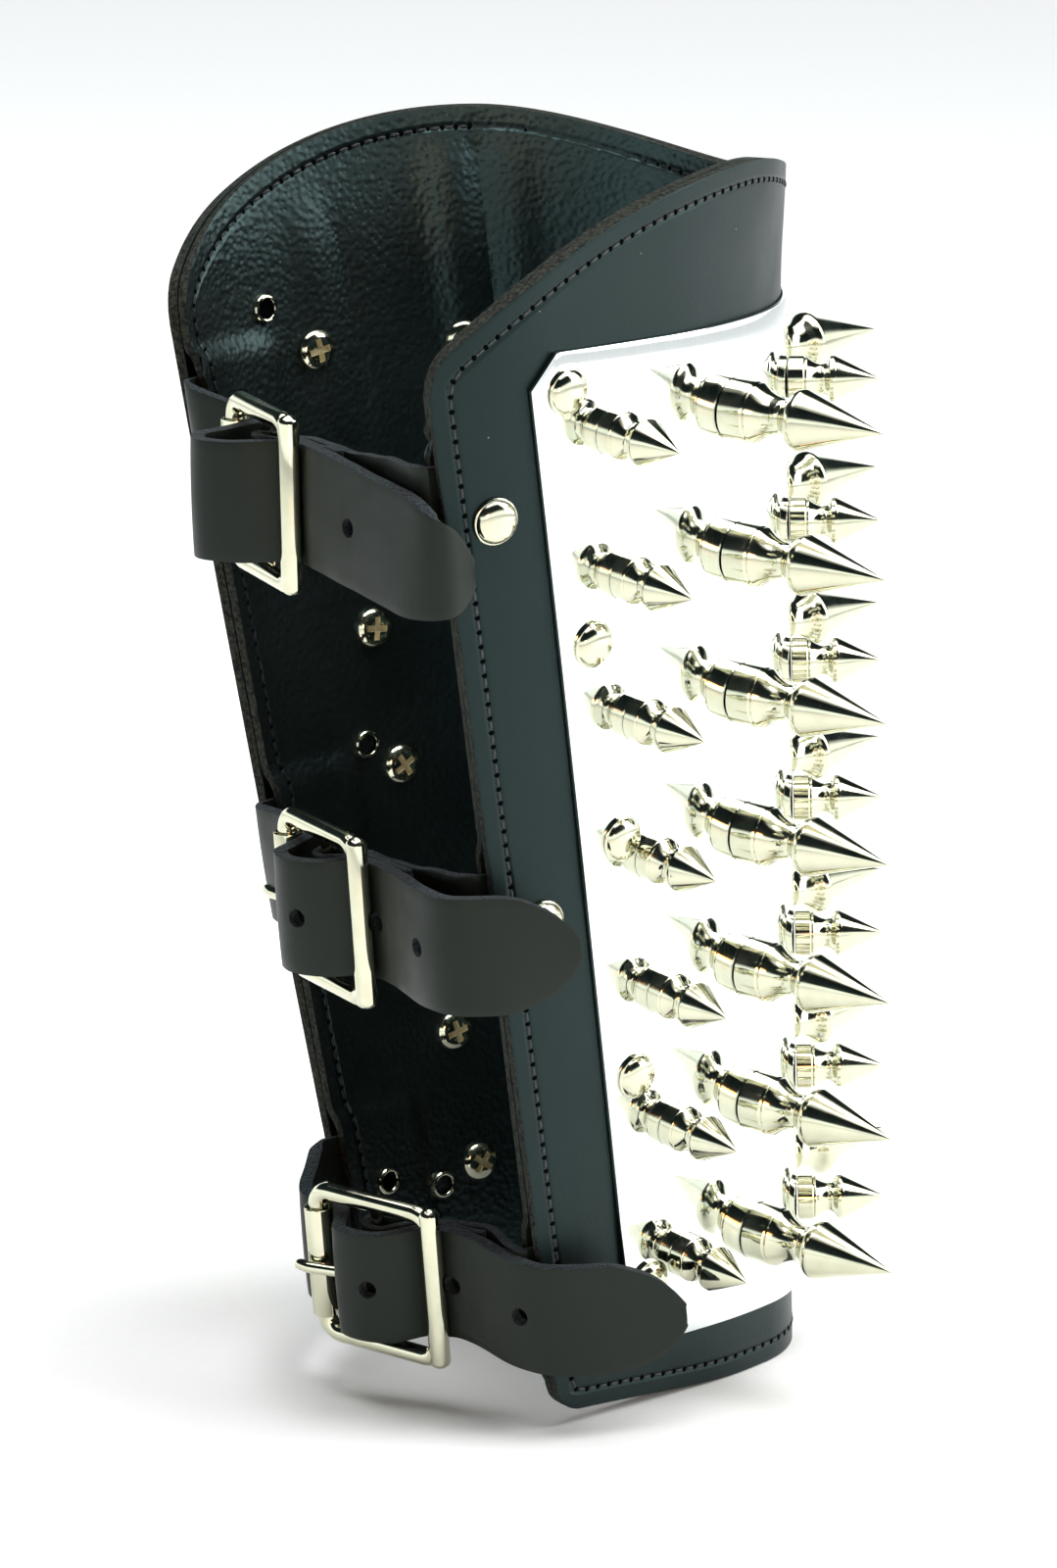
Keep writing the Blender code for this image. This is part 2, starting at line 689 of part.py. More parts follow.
def billet_knots(strap):
    """The billet's centre line, from the left flap round the centre bar and back."""
    place = buckle_place(strap)
    half = BILLET_THICK / 2
    wrap = CENTRE_BAR / 2 + CLEAR + half
    upper = -(BUCKLE_WIRE / 2 + 2 * CLEAR + STRAP_THICK + half)
    lower = upper - BILLET_THICK - CLEAR
    knots = anchored_knots(LEFT, strap.left * HEIGHT, 2.5 * MM)
    knots.append(turning_knot(knots[-1], place @ Vector((-END_BAR - 9 * MM, lower, 0.0)), 0.3 * MM))
    for x, y in (
        (-END_BAR - 8 * MM, lower - 1.4 * MM),
        (-END_BAR, lower),
        (-0.45 * END_BAR, lower + 1.6 * MM),
        (-0.16 * END_BAR, -CENTRE_BAR_SET_BACK - wrap - 0.6 * MM),
    ):
        knots.append(place @ Vector((x, y, 0.0)))
    for angle in (-90, -45, 0, 45, 90):
        turn = math.radians(angle)
        knots.append(place @ Vector((wrap * math.cos(turn),
                                     wrap * math.sin(turn) - CENTRE_BAR_SET_BACK, 0.0)))
    for x, y in (
        (-0.22 * END_BAR, wrap - CENTRE_BAR_SET_BACK - 0.9 * MM),
        (-0.55 * END_BAR, upper + 1.6 * MM),
        (-END_BAR, upper),
        (-BILLET_RETURN, upper - 0.9 * MM),
    ):
        knots.append(place @ Vector((x, y, 0.0)))
    return knots


def hole_cutters(strap, route, step):
    """Round holes back from the tip."""
    cutters = []
    drill = turned_mesh("hole", ((0.0, 1.0), (1.0, 1.0)), 4 * STRAP_THICK, HOLE_DIAMETER / 2, 8)
    up = buckle_up(strap)
    for number in range(strap.holes):
        index = len(route) - 1 - round((TIP_TO_HOLE + number * HOLE_PITCH) / step)
        along = (route[index + 1] - route[index - 1]).normalized()
        out = along.cross(up).normalized()
        turn = Matrix((along, out.cross(along), out)).transposed().to_4x4()
        middle = route[index] - out * (2 * STRAP_THICK)
        cutters.append((drill, Matrix.Translation(middle) @ turn))
    return joined_mesh("holes", cutters)


def add_tail_strap(strap, body):
    route, step = smooth_route(tail_knots(strap), STRAP_STEP)
    length = step * (len(route) - 1)
    hidden = ANCHOR_DEPTH
    first, middle = flap_up(RIGHT, strap.right * HEIGHT), buckle_up(strap)
    last = flap_up(LEFT, strap.tip * HEIGHT)

    def up_at(gone):
        if gone < length / 2:
            return first.lerp(middle, smooth((gone - hidden) / TWIST_RUN)).normalized()
        return last.lerp(middle, smooth((length - gone) / TWIST_RUN)).normalized()

    def half_width(gone):
        from_tip = max(length - gone, 0.0)
        share = min(from_tip / POINT_LENGTH, 1.0)
        return STRAP_WIDTH / 2 * max(math.sqrt(1 - (1 - share) ** 2), 0.12)

    def half_thick(gone):
        return blend(SKIVED_THICK, STRAP_THICK, smooth((gone - hidden - STRAP_STEP) / SKIVE_RUN)) / 2

    name = f"tail_strap_{strap.name}"
    made = ribbon_mesh(name, route, up_at, half_width, half_thick)
    piece = add_object(name, made, strap_leather(), body)
    combine(piece, "DIFFERENCE", hole_cutters(strap, route, step), strap_leather())
    prong = tube_mesh("prong", prong_route(), PRONG_WIRE / 2 + 1.6 * CLEAR, 8)
    room = joined_mesh("prong_room", [(prong, buckle_place(strap))])
    combine(piece, "DIFFERENCE", room, strap_leather())


def add_billet_strap(strap, body):
    route, step = smooth_route(billet_knots(strap), BILLET_STEP)
    hidden = ANCHOR_DEPTH
    first, last = flap_up(LEFT, strap.left * HEIGHT), buckle_up(strap)

    def up_at(gone):
        return first.lerp(last, smooth((gone - hidden) / TWIST_RUN)).normalized()

    def half_width(gone):
        return BILLET_WIDTH / 2

    def half_thick(gone):
        return blend(SKIVED_THICK, BILLET_THICK, smooth((gone - hidden) / SKIVE_RUN)) / 2

    name = f"billet_strap_{strap.name}"
    made = ribbon_mesh(name, route, up_at, half_width, half_thick)
    piece = add_object(name, made, strap_leather(), body)
    reach = PRONG_WRAP + PRONG_WIRE / 2 + CLEAR
    slot = bmesh.new()
    bmesh.ops.create_cube(slot, size=1.0)
    tall = PRONG_SLOT_WIDE
    middle = Vector((0.5 * reach, 0.0, 0.0))
    bmesh.ops.scale(slot, vec=(3.2 * reach, 3 * reach, tall), verts=slot.verts)
    bmesh.ops.translate(slot, vec=middle, verts=slot.verts)
    bmesh.ops.transform(slot, matrix=buckle_place(strap), verts=slot.verts)
    tool = bpy.data.meshes.new("prong_slot")
    slot.to_mesh(tool)
    slot.free()
    combine(piece, "DIFFERENCE", tool, strap_leather())


def stand_on_origin(body):
    """Puts the origin on the floor, at the middle of the whole piece's box."""
    bpy.context.view_layer.update()
    graph = bpy.context.evaluated_depsgraph_get()
    corners = []
    for piece in body.children:
        if piece.hide_render:
            continue
        shown = piece.evaluated_get(graph)
        world = np.array(piece.matrix_world)
        points = np.array([vertex.co for vertex in shown.data.vertices])
        corners.append(points @ world[:3, :3].T + world[:3, 3])
    points = np.concatenate(corners)
    low, high = points.min(axis=0), points.max(axis=0)
    body.location = (-(low[0] + high[0]) / 2, -(low[1] + high[1]) / 2, -low[2])


def main():
    for old in list(bpy.data.objects):
        bpy.data.objects.remove(old, do_unlink=True)
    body = bpy.data.objects.new("bracer", None)
    bpy.context.scene.collection.objects.link(body)
    add_shell(body)
    add_plate(body)
    add_long_spikes(body)
    add_rivets(body)
    for strap in STRAPS:
        add_buckle(strap, body)
        add_tail_strap(strap, body)
        add_billet_strap(strap, body)
    stand_on_origin(body)


main()
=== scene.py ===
"""Looks of the spiked leather forearm bracer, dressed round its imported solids.

Metres, +Z up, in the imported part's own frame: the spiked plate faces -Y and the buckled opening
at the inner arm faces +Y. The bracer stands on its wrist end.
"""
import math
from collections import namedtuple

import bpy
import numpy as np
from mathutils import Matrix, Vector


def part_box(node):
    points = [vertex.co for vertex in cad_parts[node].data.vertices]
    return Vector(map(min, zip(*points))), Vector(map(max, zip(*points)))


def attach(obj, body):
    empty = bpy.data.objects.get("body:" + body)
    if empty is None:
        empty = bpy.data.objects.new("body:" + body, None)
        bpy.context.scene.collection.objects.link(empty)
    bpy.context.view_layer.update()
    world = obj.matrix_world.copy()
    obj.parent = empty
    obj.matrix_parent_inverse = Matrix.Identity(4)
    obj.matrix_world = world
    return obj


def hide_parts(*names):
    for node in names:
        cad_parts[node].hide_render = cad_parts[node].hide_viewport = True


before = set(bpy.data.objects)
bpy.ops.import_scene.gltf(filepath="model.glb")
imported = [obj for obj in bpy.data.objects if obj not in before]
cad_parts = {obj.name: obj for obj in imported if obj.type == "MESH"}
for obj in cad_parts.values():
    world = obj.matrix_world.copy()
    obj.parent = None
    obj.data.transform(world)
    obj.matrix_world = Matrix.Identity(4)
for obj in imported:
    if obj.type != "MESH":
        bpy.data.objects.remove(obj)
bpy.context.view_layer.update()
MM = 0.001
CLEAR = 0.3 * MM

# Leather shell
HEIGHT = 274 * MM
GIRTH_WRIST = 211.6 * MM
GIRTH_ELBOW = 316 * MM
FRONT_LEAN = 14.3 * MM
OUTER_PLY = 2.2 * MM
LINING_PLY = 1.8 * MM
FLAP_DROP = 35.5 * MM
FRONT_DIP = 9.5 * MM
FLAP_RISE = 3 * MM
CORNER_RADIUS = 6 * MM
ELBOW_FLARE = 1.5 * MM
FLAP_FALL_FROM = 0.4

# Metal plate on the outside
PLATE_THICK = 1.0 * MM
PLATE_FROM_WRIST = 14.5 * MM
PLATE_FROM_ELBOW = 33 * MM
PLATE_CHAMFER = 7.5 * MM
PLATE_SHARE_WRIST = 0.802
PLATE_SHARE_ELBOW = 0.861

# Spikes, rivets and screws
SPIKE_ROWS = 7
LOWEST_ROW_UP = 19 * MM
HIGHEST_ROW_DOWN = 18.5 * MM
SHORT_SPIKE_LENGTH = 19.5 * MM
SHORT_SPIKE_DIAMETER = 10 * MM
LONG_SPIKE_LENGTH = 36.5 * MM
LONG_SPIKE_DIAMETER = 13 * MM
SPIKE_SIDES = 40
RIVET_DIAMETER = 10 * MM
RIVET_HIGH = 2.6 * MM
RIVET_END_DIAMETER = 6.3 * MM
RIVET_END_HIGH = 1.1 * MM
RIVET_END_BORE = 0.64
SEAT = 0.1 * MM
STRAP_RIVET_INSET = 11 * MM
SCREW_DIAMETER = 8.7 * MM
SCREW_HIGH = 1.9 * MM
RECESS_LONG = 0.60
RECESS_WIDE = 0.16
ROUND_SIDES = 36
SMALL_SIDES = 28

# Stitching
STITCH_INSET = 4.4 * MM
STITCH_PITCH = 3.2 * MM
THREAD = 0.7 * MM
GROOVE_HALF_WIDE = 1.2 * MM

# Straps
STRAP_WIDTH = 25.4 * MM
STRAP_THICK = 3.0 * MM
SKIVED_THICK = 1.2 * MM
ANCHOR_DEPTH = 18 * MM
SKIVE_RUN = 5 * MM
TWIST_RUN = 20 * MM
BILLET_WIDTH = 24.6 * MM
BILLET_THICK = 2.0 * MM
BILLET_RETURN = 24 * MM
HOLE_DIAMETER = 4.2 * MM
HOLE_PITCH = 20 * MM
TIP_TO_HOLE = 37 * MM
POINT_LENGTH = 20 * MM
TIP_BLUNT = 0.17
PRONG_SLOT_WIDE = 6.5 * MM
ROUTE_STEP = 0.6 * MM

# Roller buckles
BUCKLE_LENGTH = 35 * MM
BUCKLE_TALL = 38.5 * MM
BUCKLE_WIRE = 4.2 * MM
BUCKLE_CORNER = 4.0 * MM
CENTRE_BAR = 3.2 * MM
CENTRE_BAR_SET_BACK = 1.5 * MM
ROLLER_WALL = 0.7 * MM
ROLLER_SIDES = 60
ROLLER_SEAM = math.radians(63)
PRONG_WIRE = 2.6 * MM
PRONG_OVERHANG = 3.8 * MM
PRONG_DROP = 0.5 * MM
KEEPER_WIRE = 1.12 * BUCKLE_WIRE
KEEPER_OVERHANG = 1.9 * MM

# Widths of a wire's last points, as shares of its radius, where its end is rounded
PRONG_END = (0.98, 0.9, 0.7, 0.3)
KEEPER_END = (0.99, 0.87, 0.55, 0.20)

# How finely the sheets are laid out, and how much their edges are eased
PLY_COLUMNS, PLY_ROWS = 170, 150
PLATE_COLUMNS, PLATE_ROWS = 120, 40
TAIL_COLUMNS, BILLET_COLUMNS, STRAP_ROWS = 220, 150, 12
PLY_EASED = 0.4 * MM
STRAP_EASED = 0.45 * MM
METAL_EASED = 0.2 * MM

# Which way the wall's outer face looks, in degrees from straight ahead, from the front line
# (share 0) to the flap's edge (share 1 of the half girth).
Turn = namedtuple("Turn", "share left_wrist left_elbow right_wrist right_elbow")
SECTION = (
    Turn(0.0, 0, 0, 0, 0),
    Turn(0.2, 30, 41, 30, 41),
    Turn(0.4, 74, 63, 74, 63),
    Turn(0.6, 84, 80, 84, 80),
    Turn(0.8, 85, 84, 90, 97),
    Turn(1.0, 88, 110, 98, 135),
)

# Spike columns, as shares of the half girth at the first and the last row.
Column = namedtuple("Column", "name wrist elbow long sides")
COLUMNS = (
    Column("centre", 0.000, 0.000, True, (1,)),
    Column("inner", 0.224, 0.213, False, (-1, 1)),
    Column("middle", 0.445, 0.462, True, (-1, 1)),
    Column("outer", 0.653, 0.713, False, (-1, 1)),
)

# Turned shapes: how far along their height, and how wide as a share of their radius.
SHORT_SPIKE_TURNING = (
    (0.000, 0.95), (0.010, 1.00), (0.170, 1.00), (0.182, 0.97), (0.190, 0.93), (0.200, 0.96),
    (0.210, 0.96), (0.235, 0.87), (0.270, 0.76), (0.310, 0.67), (0.355, 0.62), (0.395, 0.66),
    (0.425, 0.76), (0.445, 0.88), (0.455, 0.95), (0.465, 0.99), (0.500, 1.00), (0.520, 0.99),
    (0.530, 0.96), (0.538, 0.95), (0.985, 0.05), (1.000, 0.01),
)
LONG_SPIKE_TURNING = (
    (0.000, 0.96), (0.006, 1.00), (0.150, 1.00), (0.158, 0.97), (0.164, 0.94), (0.171, 0.97),
    (0.180, 0.97), (0.205, 0.86), (0.240, 0.74), (0.285, 0.65), (0.330, 0.62), (0.370, 0.66),
    (0.400, 0.76), (0.420, 0.87), (0.435, 0.94), (0.450, 0.98), (0.468, 1.00), (0.482, 0.99),
    (0.492, 0.96), (0.990, 0.04), (1.000, 0.01),
)
RIVET_TURNING = (
    (0.00, 0.96), (0.06, 1.00), (0.18, 1.00), (0.24, 0.97), (0.26, 0.93), (0.40, 0.90),
    (0.56, 0.84), (0.72, 0.73), (0.84, 0.59), (0.93, 0.41), (0.98, 0.22), (1.00, 0.06),
)
SCREW_TURNING = (
    (0.00, 0.98), (0.08, 1.00), (0.34, 1.00), (0.52, 0.95), (0.70, 0.86), (0.86, 0.70),
    (0.96, 0.48), (1.00, 0.22),
)
RIVET_END_TURNING = (
    (0.00, 0.96), (0.30, 1.00), (0.65, 0.99), (0.90, 0.92), (1.00, 0.82), (0.92, 0.72),
    (0.70, 0.66), (0.10, 0.62), (0.08, 0.20),
)

# Rivets down each long edge of the plate: their height, as a share of the plate's, and how far
# they sit inside its edge, as a share of their own diameter.
PlateRivet = namedtuple("PlateRivet", "height inset")
PLATE_RIVETS = (
    PlateRivet(0.963, 0.90),
    PlateRivet(0.721, 0.87),
    PlateRivet(0.526, 1.10),
    PlateRivet(0.284, 0.84),
    PlateRivet(0.067, 0.64),
)

# Straps from elbow to wrist. Heights of the centre line at the right flap, the buckle, the left
# flap and the tip are shares of HEIGHT. Turn and lean of the buckle are in degrees. The other
# lengths are shares of STRAP_WIDTH: the buckle's place across, how far it stands behind the flaps'
# edges, the outward bulge of the strap in the buckle, where the strap bends behind the left flap's
# edge, and where its tip ends past that edge and off the flap's face.
Strap = namedtuple("Strap", "name right buckle left tip turn lean across back bulge "
                            "bend bend_off past off holes")
STRAPS = (
    Strap("top", 0.763, 0.745, 0.755, 0.720, -12, 2, 0.14, 0.32, 0.53, 0.26, 0.06, 0.13, 0.05, 2),
    Strap("middle", 0.416, 0.418, 0.430, 0.420, -5, 5, -0.18, 0.58, 0.33, 0.52, 0.12, 0.46, 0.40, 3),
    Strap("bottom", 0.125, 0.108, 0.112, 0.097, 18, 8, -0.24, 0.74, 0.26, 0.10, 0.08, 1.00, 0.52, 3),
)

# Folds that the lining has taken at the elbow end: where round the wall, how far up, how wide as
# a share of the half girth, and how deep. Negative depths are hollows.
Fold = namedtuple("Fold", "share low high wide deep")
FOLDS = (
    Fold(0.405, 0.74, 1.00, 0.020, -1.1 * MM),
    Fold(0.455, 0.76, 1.00, 0.050, 1.5 * MM),
    Fold(0.355, 0.76, 1.00, 0.035, 0.8 * MM),
    Fold(0.640, 0.70, 0.93, 0.022, -0.7 * MM),
    Fold(0.690, 0.72, 0.95, 0.050, 0.9 * MM),
    Fold(-0.45, 0.72, 0.98, 0.045, 0.9 * MM),
    Fold(-0.52, 0.74, 0.98, 0.022, -0.7 * MM),
)

LEFT, RIGHT = -1, 1
SIDE_NAMES = {LEFT: "left", RIGHT: "right"}

# Where the photograph was taken from, off the foot of the front line
CAMERA_PLACE = Vector((-0.9763, 0.7741, 0.4477))
CAMERA_YAW, CAMERA_PITCH, CAMERA_ROLL = -0.62684, -0.25581, 0.01643
FOCAL_PIXELS = 5830.3
PICTURE_TALL = 1600

# Sizes that follow from the ones above
shell_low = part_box("leather_outer")[0]
front_low, front_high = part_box("long_spike_centre_4")
ORIGIN = Vector(((front_low.x + front_high.x) / 2, shell_low.y, shell_low.z))
PLATE_LOW = PLATE_FROM_WRIST
PLATE_HIGH = HEIGHT - PLATE_FROM_ELBOW
LOWEST_ROW = PLATE_LOW + LOWEST_ROW_UP
HIGHEST_ROW = PLATE_HIGH - HIGHEST_ROW_DOWN
PLATE_FACE = CLEAR + PLATE_THICK
LINING_FACE = -(OUTER_PLY + CLEAR)
LINING_BACK = LINING_FACE - LINING_PLY
ANCHOR_MIDDLE = -(OUTER_PLY + 2 * CLEAR + SKIVED_THICK / 2)
POCKET = SKIVED_THICK + 2.7 * CLEAR
POCKET_MARGIN = 1.5 * MM
POCKET_RUN = 5 * MM
END_BAR = BUCKLE_LENGTH / 2 - BUCKLE_WIRE / 2
RAIL = BUCKLE_TALL / 2 - BUCKLE_WIRE / 2
ROLLER_BORE = BUCKLE_WIRE / 2 + CLEAR
ROLLER_RADIUS = ROLLER_BORE + ROLLER_WALL
PRONG_WRAP = CENTRE_BAR / 2 + CLEAR + PRONG_WIRE / 2
PRONG_TOP = ROLLER_RADIUS + CLEAR + PRONG_WIRE / 2


def blend(low, high, share):
    return low + (high - low) * share


def smooth(value):
    value = min(max(value, 0.0), 1.0)
    return value * value * (3 - 2 * value)


# The wall of the bracer

def half_girth(z):
    """Length of the wall from the front line to a flap's edge."""
    return blend(GIRTH_WRIST, GIRTH_ELBOW, z / HEIGHT) / 2


def wall_turn(side, shares, z):
    """Angles of the wall's outer face, in radians from straight ahead."""
    known = [row.share for row in SECTION]
    if side < 0:
        wrist, elbow = [row.left_wrist for row in SECTION], [row.left_elbow for row in SECTION]
    else:
        wrist, elbow = [row.right_wrist for row in SECTION], [row.right_elbow for row in SECTION]
    low, high = np.interp(shares, known, wrist), np.interp(shares, known, elbow)
    return np.radians(blend(low, high, z / HEIGHT))


def wall_point(arc, z, out=0.0):
    """A point `out` off the leather's outer face, at a signed arc from the front line (+ is right)."""
    side = math.copysign(1.0, arc)
    half = half_girth(z)
    pieces = 40
    middles = (np.arange(pieces) + 0.5) * abs(arc) / pieces
    turns = wall_turn(side, middles / half, z)
    end = float(wall_turn(side, abs(arc) / half, z))
    flare = ELBOW_FLARE * smooth((z - PLATE_HIGH) / (HEIGHT - PLATE_HIGH))
    reach = out + flare
    x = side * (np.cos(turns).sum() * abs(arc) / pieces + reach * math.sin(end))
    y = np.sin(turns).sum() * abs(arc) / pieces - reach * math.cos(end)
    return ORIGIN + Vector((x, y + FRONT_LEAN * z / HEIGHT, z))


def wall_frame(arc, z, out=0.0):
    """Place and turn of a piece that stands on the wall, its own +Z pointing outwards."""
    step = 1 * MM
    across = wall_point(arc + step, z, out) - wall_point(arc - step, z, out)
    up = wall_point(arc, z + step, out) - wall_point(arc, z - step, out)
    outward = across.cross(up).normalized()
    across.normalize()
    turn = Matrix((across, outward.cross(across), outward)).transposed().to_4x4()
    return Matrix.Translation(wall_point(arc, z, out)) @ turn


def rounding(from_edge):
    """How far the outline is cut back near a rounded flap corner."""
    inside = min(max(CORNER_RADIUS - from_edge, 0.0), CORNER_RADIUS)
    return CORNER_RADIUS - math.sqrt(CORNER_RADIUS ** 2 - inside ** 2)


def leather_low(share):
    """Height of the leather's lower edge."""
    rise = FLAP_RISE * smooth((abs(share) - 0.5) / 0.5)
    return rise + rounding((1 - abs(share)) * GIRTH_WRIST / 2)


def leather_high(share):
    """Height of the leather's upper edge, which falls to the flaps and dips at the front."""
    fall = FLAP_DROP * max((abs(share) - FLAP_FALL_FROM) / (1 - FLAP_FALL_FROM), 0.0) ** 2
    dip = FRONT_DIP * smooth(1 - abs(share) / FLAP_FALL_FROM)
    return HEIGHT - fall - dip - rounding((1 - abs(share)) * GIRTH_ELBOW / 2)


def plate_edge(z):
    """How far round the wall the plate reaches."""
    return blend(PLATE_SHARE_WRIST, PLATE_SHARE_ELBOW, z / HEIGHT) * half_girth(z)


def row_height(row):
    """Height of a spike row; row 1 is the highest."""
    return blend(HIGHEST_ROW, LOWEST_ROW, (row - 1) / (SPIKE_ROWS - 1))


def column_arc(column, side, row):
    share = blend(column.elbow, column.wrist, (row - 1) / (SPIKE_ROWS - 1))
    return side * share * half_girth(row_height(row))


def lining_push(share, z):
    """How far the lining stands in from its ply's plain line, over strap ends and in its folds."""
    from_edge = (1 - abs(share)) * GIRTH_WRIST / 2
    across = smooth((ANCHOR_DEPTH + POCKET_MARGIN + POCKET_RUN - from_edge) / POCKET_RUN)
    deepest = 0.0
    for strap in STRAPS:
        centre = blend(strap.left, strap.right, (1 + share) / 2) * HEIGHT
        off = abs(z - centre) - STRAP_WIDTH / 2 - POCKET_MARGIN
        deepest = max(deepest, smooth(1 - off / POCKET_RUN))
    folded = 0.0
    for fold in FOLDS:
        round_it = smooth(1 - abs(share - fold.share) / fold.wide)
        up_it = smooth((z / HEIGHT - fold.low) / 0.08) * smooth((fold.high - z / HEIGHT) / 0.05)
        folded += fold.deep * round_it * up_it
    return POCKET * across * deepest + folded


def lining_frame(arc, z):
    """Place and turn of a piece that stands on the lining, its own +Z pointing into the hollow."""
    push = lining_push(arc / half_girth(z), z)
    return wall_frame(arc, z, LINING_BACK - push) @ Matrix.Rotation(math.pi, 4, "X")


# Modelling

def deselect_all():
    bpy.ops.object.select_all(action="DESELECT")


def work_on(piece):
    deselect_all()
    piece.select_set(True)
    bpy.context.view_layer.objects.active = piece


def apply_modifiers(piece):
    work_on(piece)
    for modifier in list(piece.modifiers):
        bpy.ops.object.modifier_apply(modifier=modifier.name)


def smooth_faces(piece, degrees):
    work_on(piece)
    bpy.ops.object.shade_smooth_by_angle(angle=math.radians(degrees))


def give(piece, *finishes):
    piece.data.materials.clear()
    for finish in finishes:
        piece.data.materials.append(finish)


def give_inside(piece, finish, inner):
    """Two finishes, with every face in the second one."""
    give(piece, finish, inner)
    for face in piece.data.polygons:
        face.material_index = 1


def add_sheet(name, columns, rows, at):
    """A grid laid over a surface; `at` takes the shares across and up, from 0 to 1."""
    deselect_all()
    bpy.ops.mesh.primitive_grid_add(x_subdivisions=columns, y_subdivisions=rows, size=1)
    sheet = bpy.context.active_object
    sheet.name = name
    shares = [(vertex.co.x + 0.5, vertex.co.y + 0.5) for vertex in sheet.data.vertices]
    for vertex, (across, up) in zip(sheet.data.vertices, shares):
        vertex.co = at(across, up)
    return sheet, shares


def thicken(sheet, thickness, offset, bevel, group=""):
    """Gives a sheet its thickness and eased edges; the cut edge takes the second finish."""
    wall = sheet.modifiers.new("thickness", "SOLIDIFY")
    wall.thickness = thickness
    wall.offset = offset
    wall.use_even_offset = True
    wall.material_offset_rim = 1
    wall.vertex_group = group
    eased = sheet.modifiers.new("eased edge", "BEVEL")
    eased.width = bevel
    eased.segments = 2
    eased.limit_method = "ANGLE"
    eased.angle_limit = math.radians(50)
    apply_modifiers(sheet)
    smooth_faces(sheet, 40)


def outward(piece):
    """Makes a closed shape's faces point out."""
    work_on(piece)
    bpy.ops.object.mode_set(mode="EDIT")
    bpy.ops.mesh.select_all(action="SELECT")
    bpy.ops.mesh.normals_make_consistent(inside=False)
    bpy.ops.object.mode_set(mode="OBJECT")


def add_turned(name, turning, height, radius, sides):
    """A turned piece, extruded ring by ring from a disc."""
    deselect_all()
    first, wide = turning[0]
    bpy.ops.mesh.primitive_circle_add(vertices=sides, radius=wide * radius, fill_type="NGON",
                                      location=(0, 0, first * height))
    piece = bpy.context.active_object
    piece.name = name
    bpy.ops.object.transform_apply(location=True, rotation=False, scale=False)
    bpy.ops.object.mode_set(mode="EDIT")
    bpy.ops.mesh.select_all(action="SELECT")
    for (low, before), (high, after) in zip(turning, turning[1:]):
        rise = (0, 0, (high - low) * height)
        bpy.ops.mesh.extrude_region_move(TRANSFORM_OT_translate={"value": rise})
        bpy.ops.transform.resize(value=(after / before, after / before, 1),
                                 center_override=(0, 0, high * height))
    bpy.ops.object.mode_set(mode="OBJECT")
    outward(piece)
    smooth_faces(piece, 32)
    return piece


def copy_to(model, name, place):
    """A copy with its own mesh, put in its place."""
    piece = bpy.data.objects.new(name, model.data.copy())
    bpy.context.scene.collection.objects.link(piece)
    piece.data.transform(place)
    return piece


def remove(piece):
    bpy.data.objects.remove(piece, do_unlink=True)


def join(name, pieces):
    deselect_all()
    for piece in pieces:
        piece.select_set(True)
    bpy.context.view_layer.objects.active = pieces[0]
    bpy.ops.object.join()
    pieces[0].name = name
    return pieces[0]


def cut(piece, cutter):
    """Takes the cutter's shape out of a piece."""
    taken = piece.modifiers.new("cut", "BOOLEAN")
    taken.operation = "DIFFERENCE"
    taken.solver = "EXACT"
    taken.object = cutter
    apply_modifiers(piece)
    remove(cutter)


def add_wire(name, route, radius, closed=False, ends=(), both_ends=False):
    """A round wire along a route; `ends` gives widths, as shares of the radius, for its last points."""
    line = bpy.data.curves.new(name, "CURVE")
    line.dimensions = "3D"
    line.bevel_depth = radius
    line.bevel_resolution = 5
    line.use_fill_caps = True
    spline = line.splines.new("POLY")
    spline.points.add(len(route) - 1)
    for point, place in zip(spline.points, route):
        point.co = (*place, 1.0)
    for back, share in enumerate(reversed(ends), start=1):
        spline.points[-back].radius = share
        if both_ends:
            spline.points[back - 1].radius = share
    spline.use_cyclic_u = closed
    wire = bpy.data.objects.new(name, line)
    bpy.context.scene.collection.objects.link(wire)
    work_on(wire)
    bpy.ops.object.convert(target="MESH")
    wire = bpy.context.active_object
    outward(wire)
    smooth_faces(wire, 40)
    return wire


# Finishes

def shade(hex_colour):
    """Linear colour from an sRGB hex value."""
    channels = [int(hex_colour[k:k + 2], 16) / 255 for k in (1, 3, 5)]
    linear = [c / 12.92 if c <= 0.04045 else ((c + 0.055) / 1.055) ** 2.4 for c in channels]
    return (*linear, 1.0)


def add_node(tree, kind, settings=None, values=None, links=None):
    """Adds a node with its settings, its sockets' values and its links."""
    node = tree.nodes.new(kind)
    for setting, value in (settings or {}).items():
        setattr(node, setting, value)
    for socket, value in (values or {}).items():
        node.inputs[socket].default_value = value
    for socket, source in (links or {}).items():
        tree.links.new(source, node.inputs[socket])
    return node


def new_finish(name, roughness, metallic=0.0, **sockets):
    """A material and its parts: the node tree, the shader and the piece's own coordinates."""
    finish = bpy.data.materials.new(name)
    finish.use_nodes = True
    tree = finish.node_tree
    shader = tree.nodes["Principled BSDF"]
    shader.inputs["Roughness"].default_value = roughness
    shader.inputs["Metallic"].default_value = metallic
    for socket, value in sockets.items():
        shader.inputs[socket.replace("_", " ")].default_value = value
    coordinates = add_node(tree, "ShaderNodeTexCoord").outputs["Object"]
    return finish, tree, shader, coordinates


def grained(tree, coordinates, kind, size, **settings):
    """A pattern whose features are about `size` across."""
    return add_node(tree, kind, settings, {"Scale": 1 / size}, {"Vector": coordinates})


def mixed(tree, share, low, high):
    """A colour between two, by a share."""
    mix = add_node(tree, "ShaderNodeMix", {"data_type": "RGBA"})
    mix.inputs[6].default_value = shade(low)
    mix.inputs[7].default_value = shade(high)
    tree.links.new(share, mix.inputs[0])
    return mix.outputs[2]


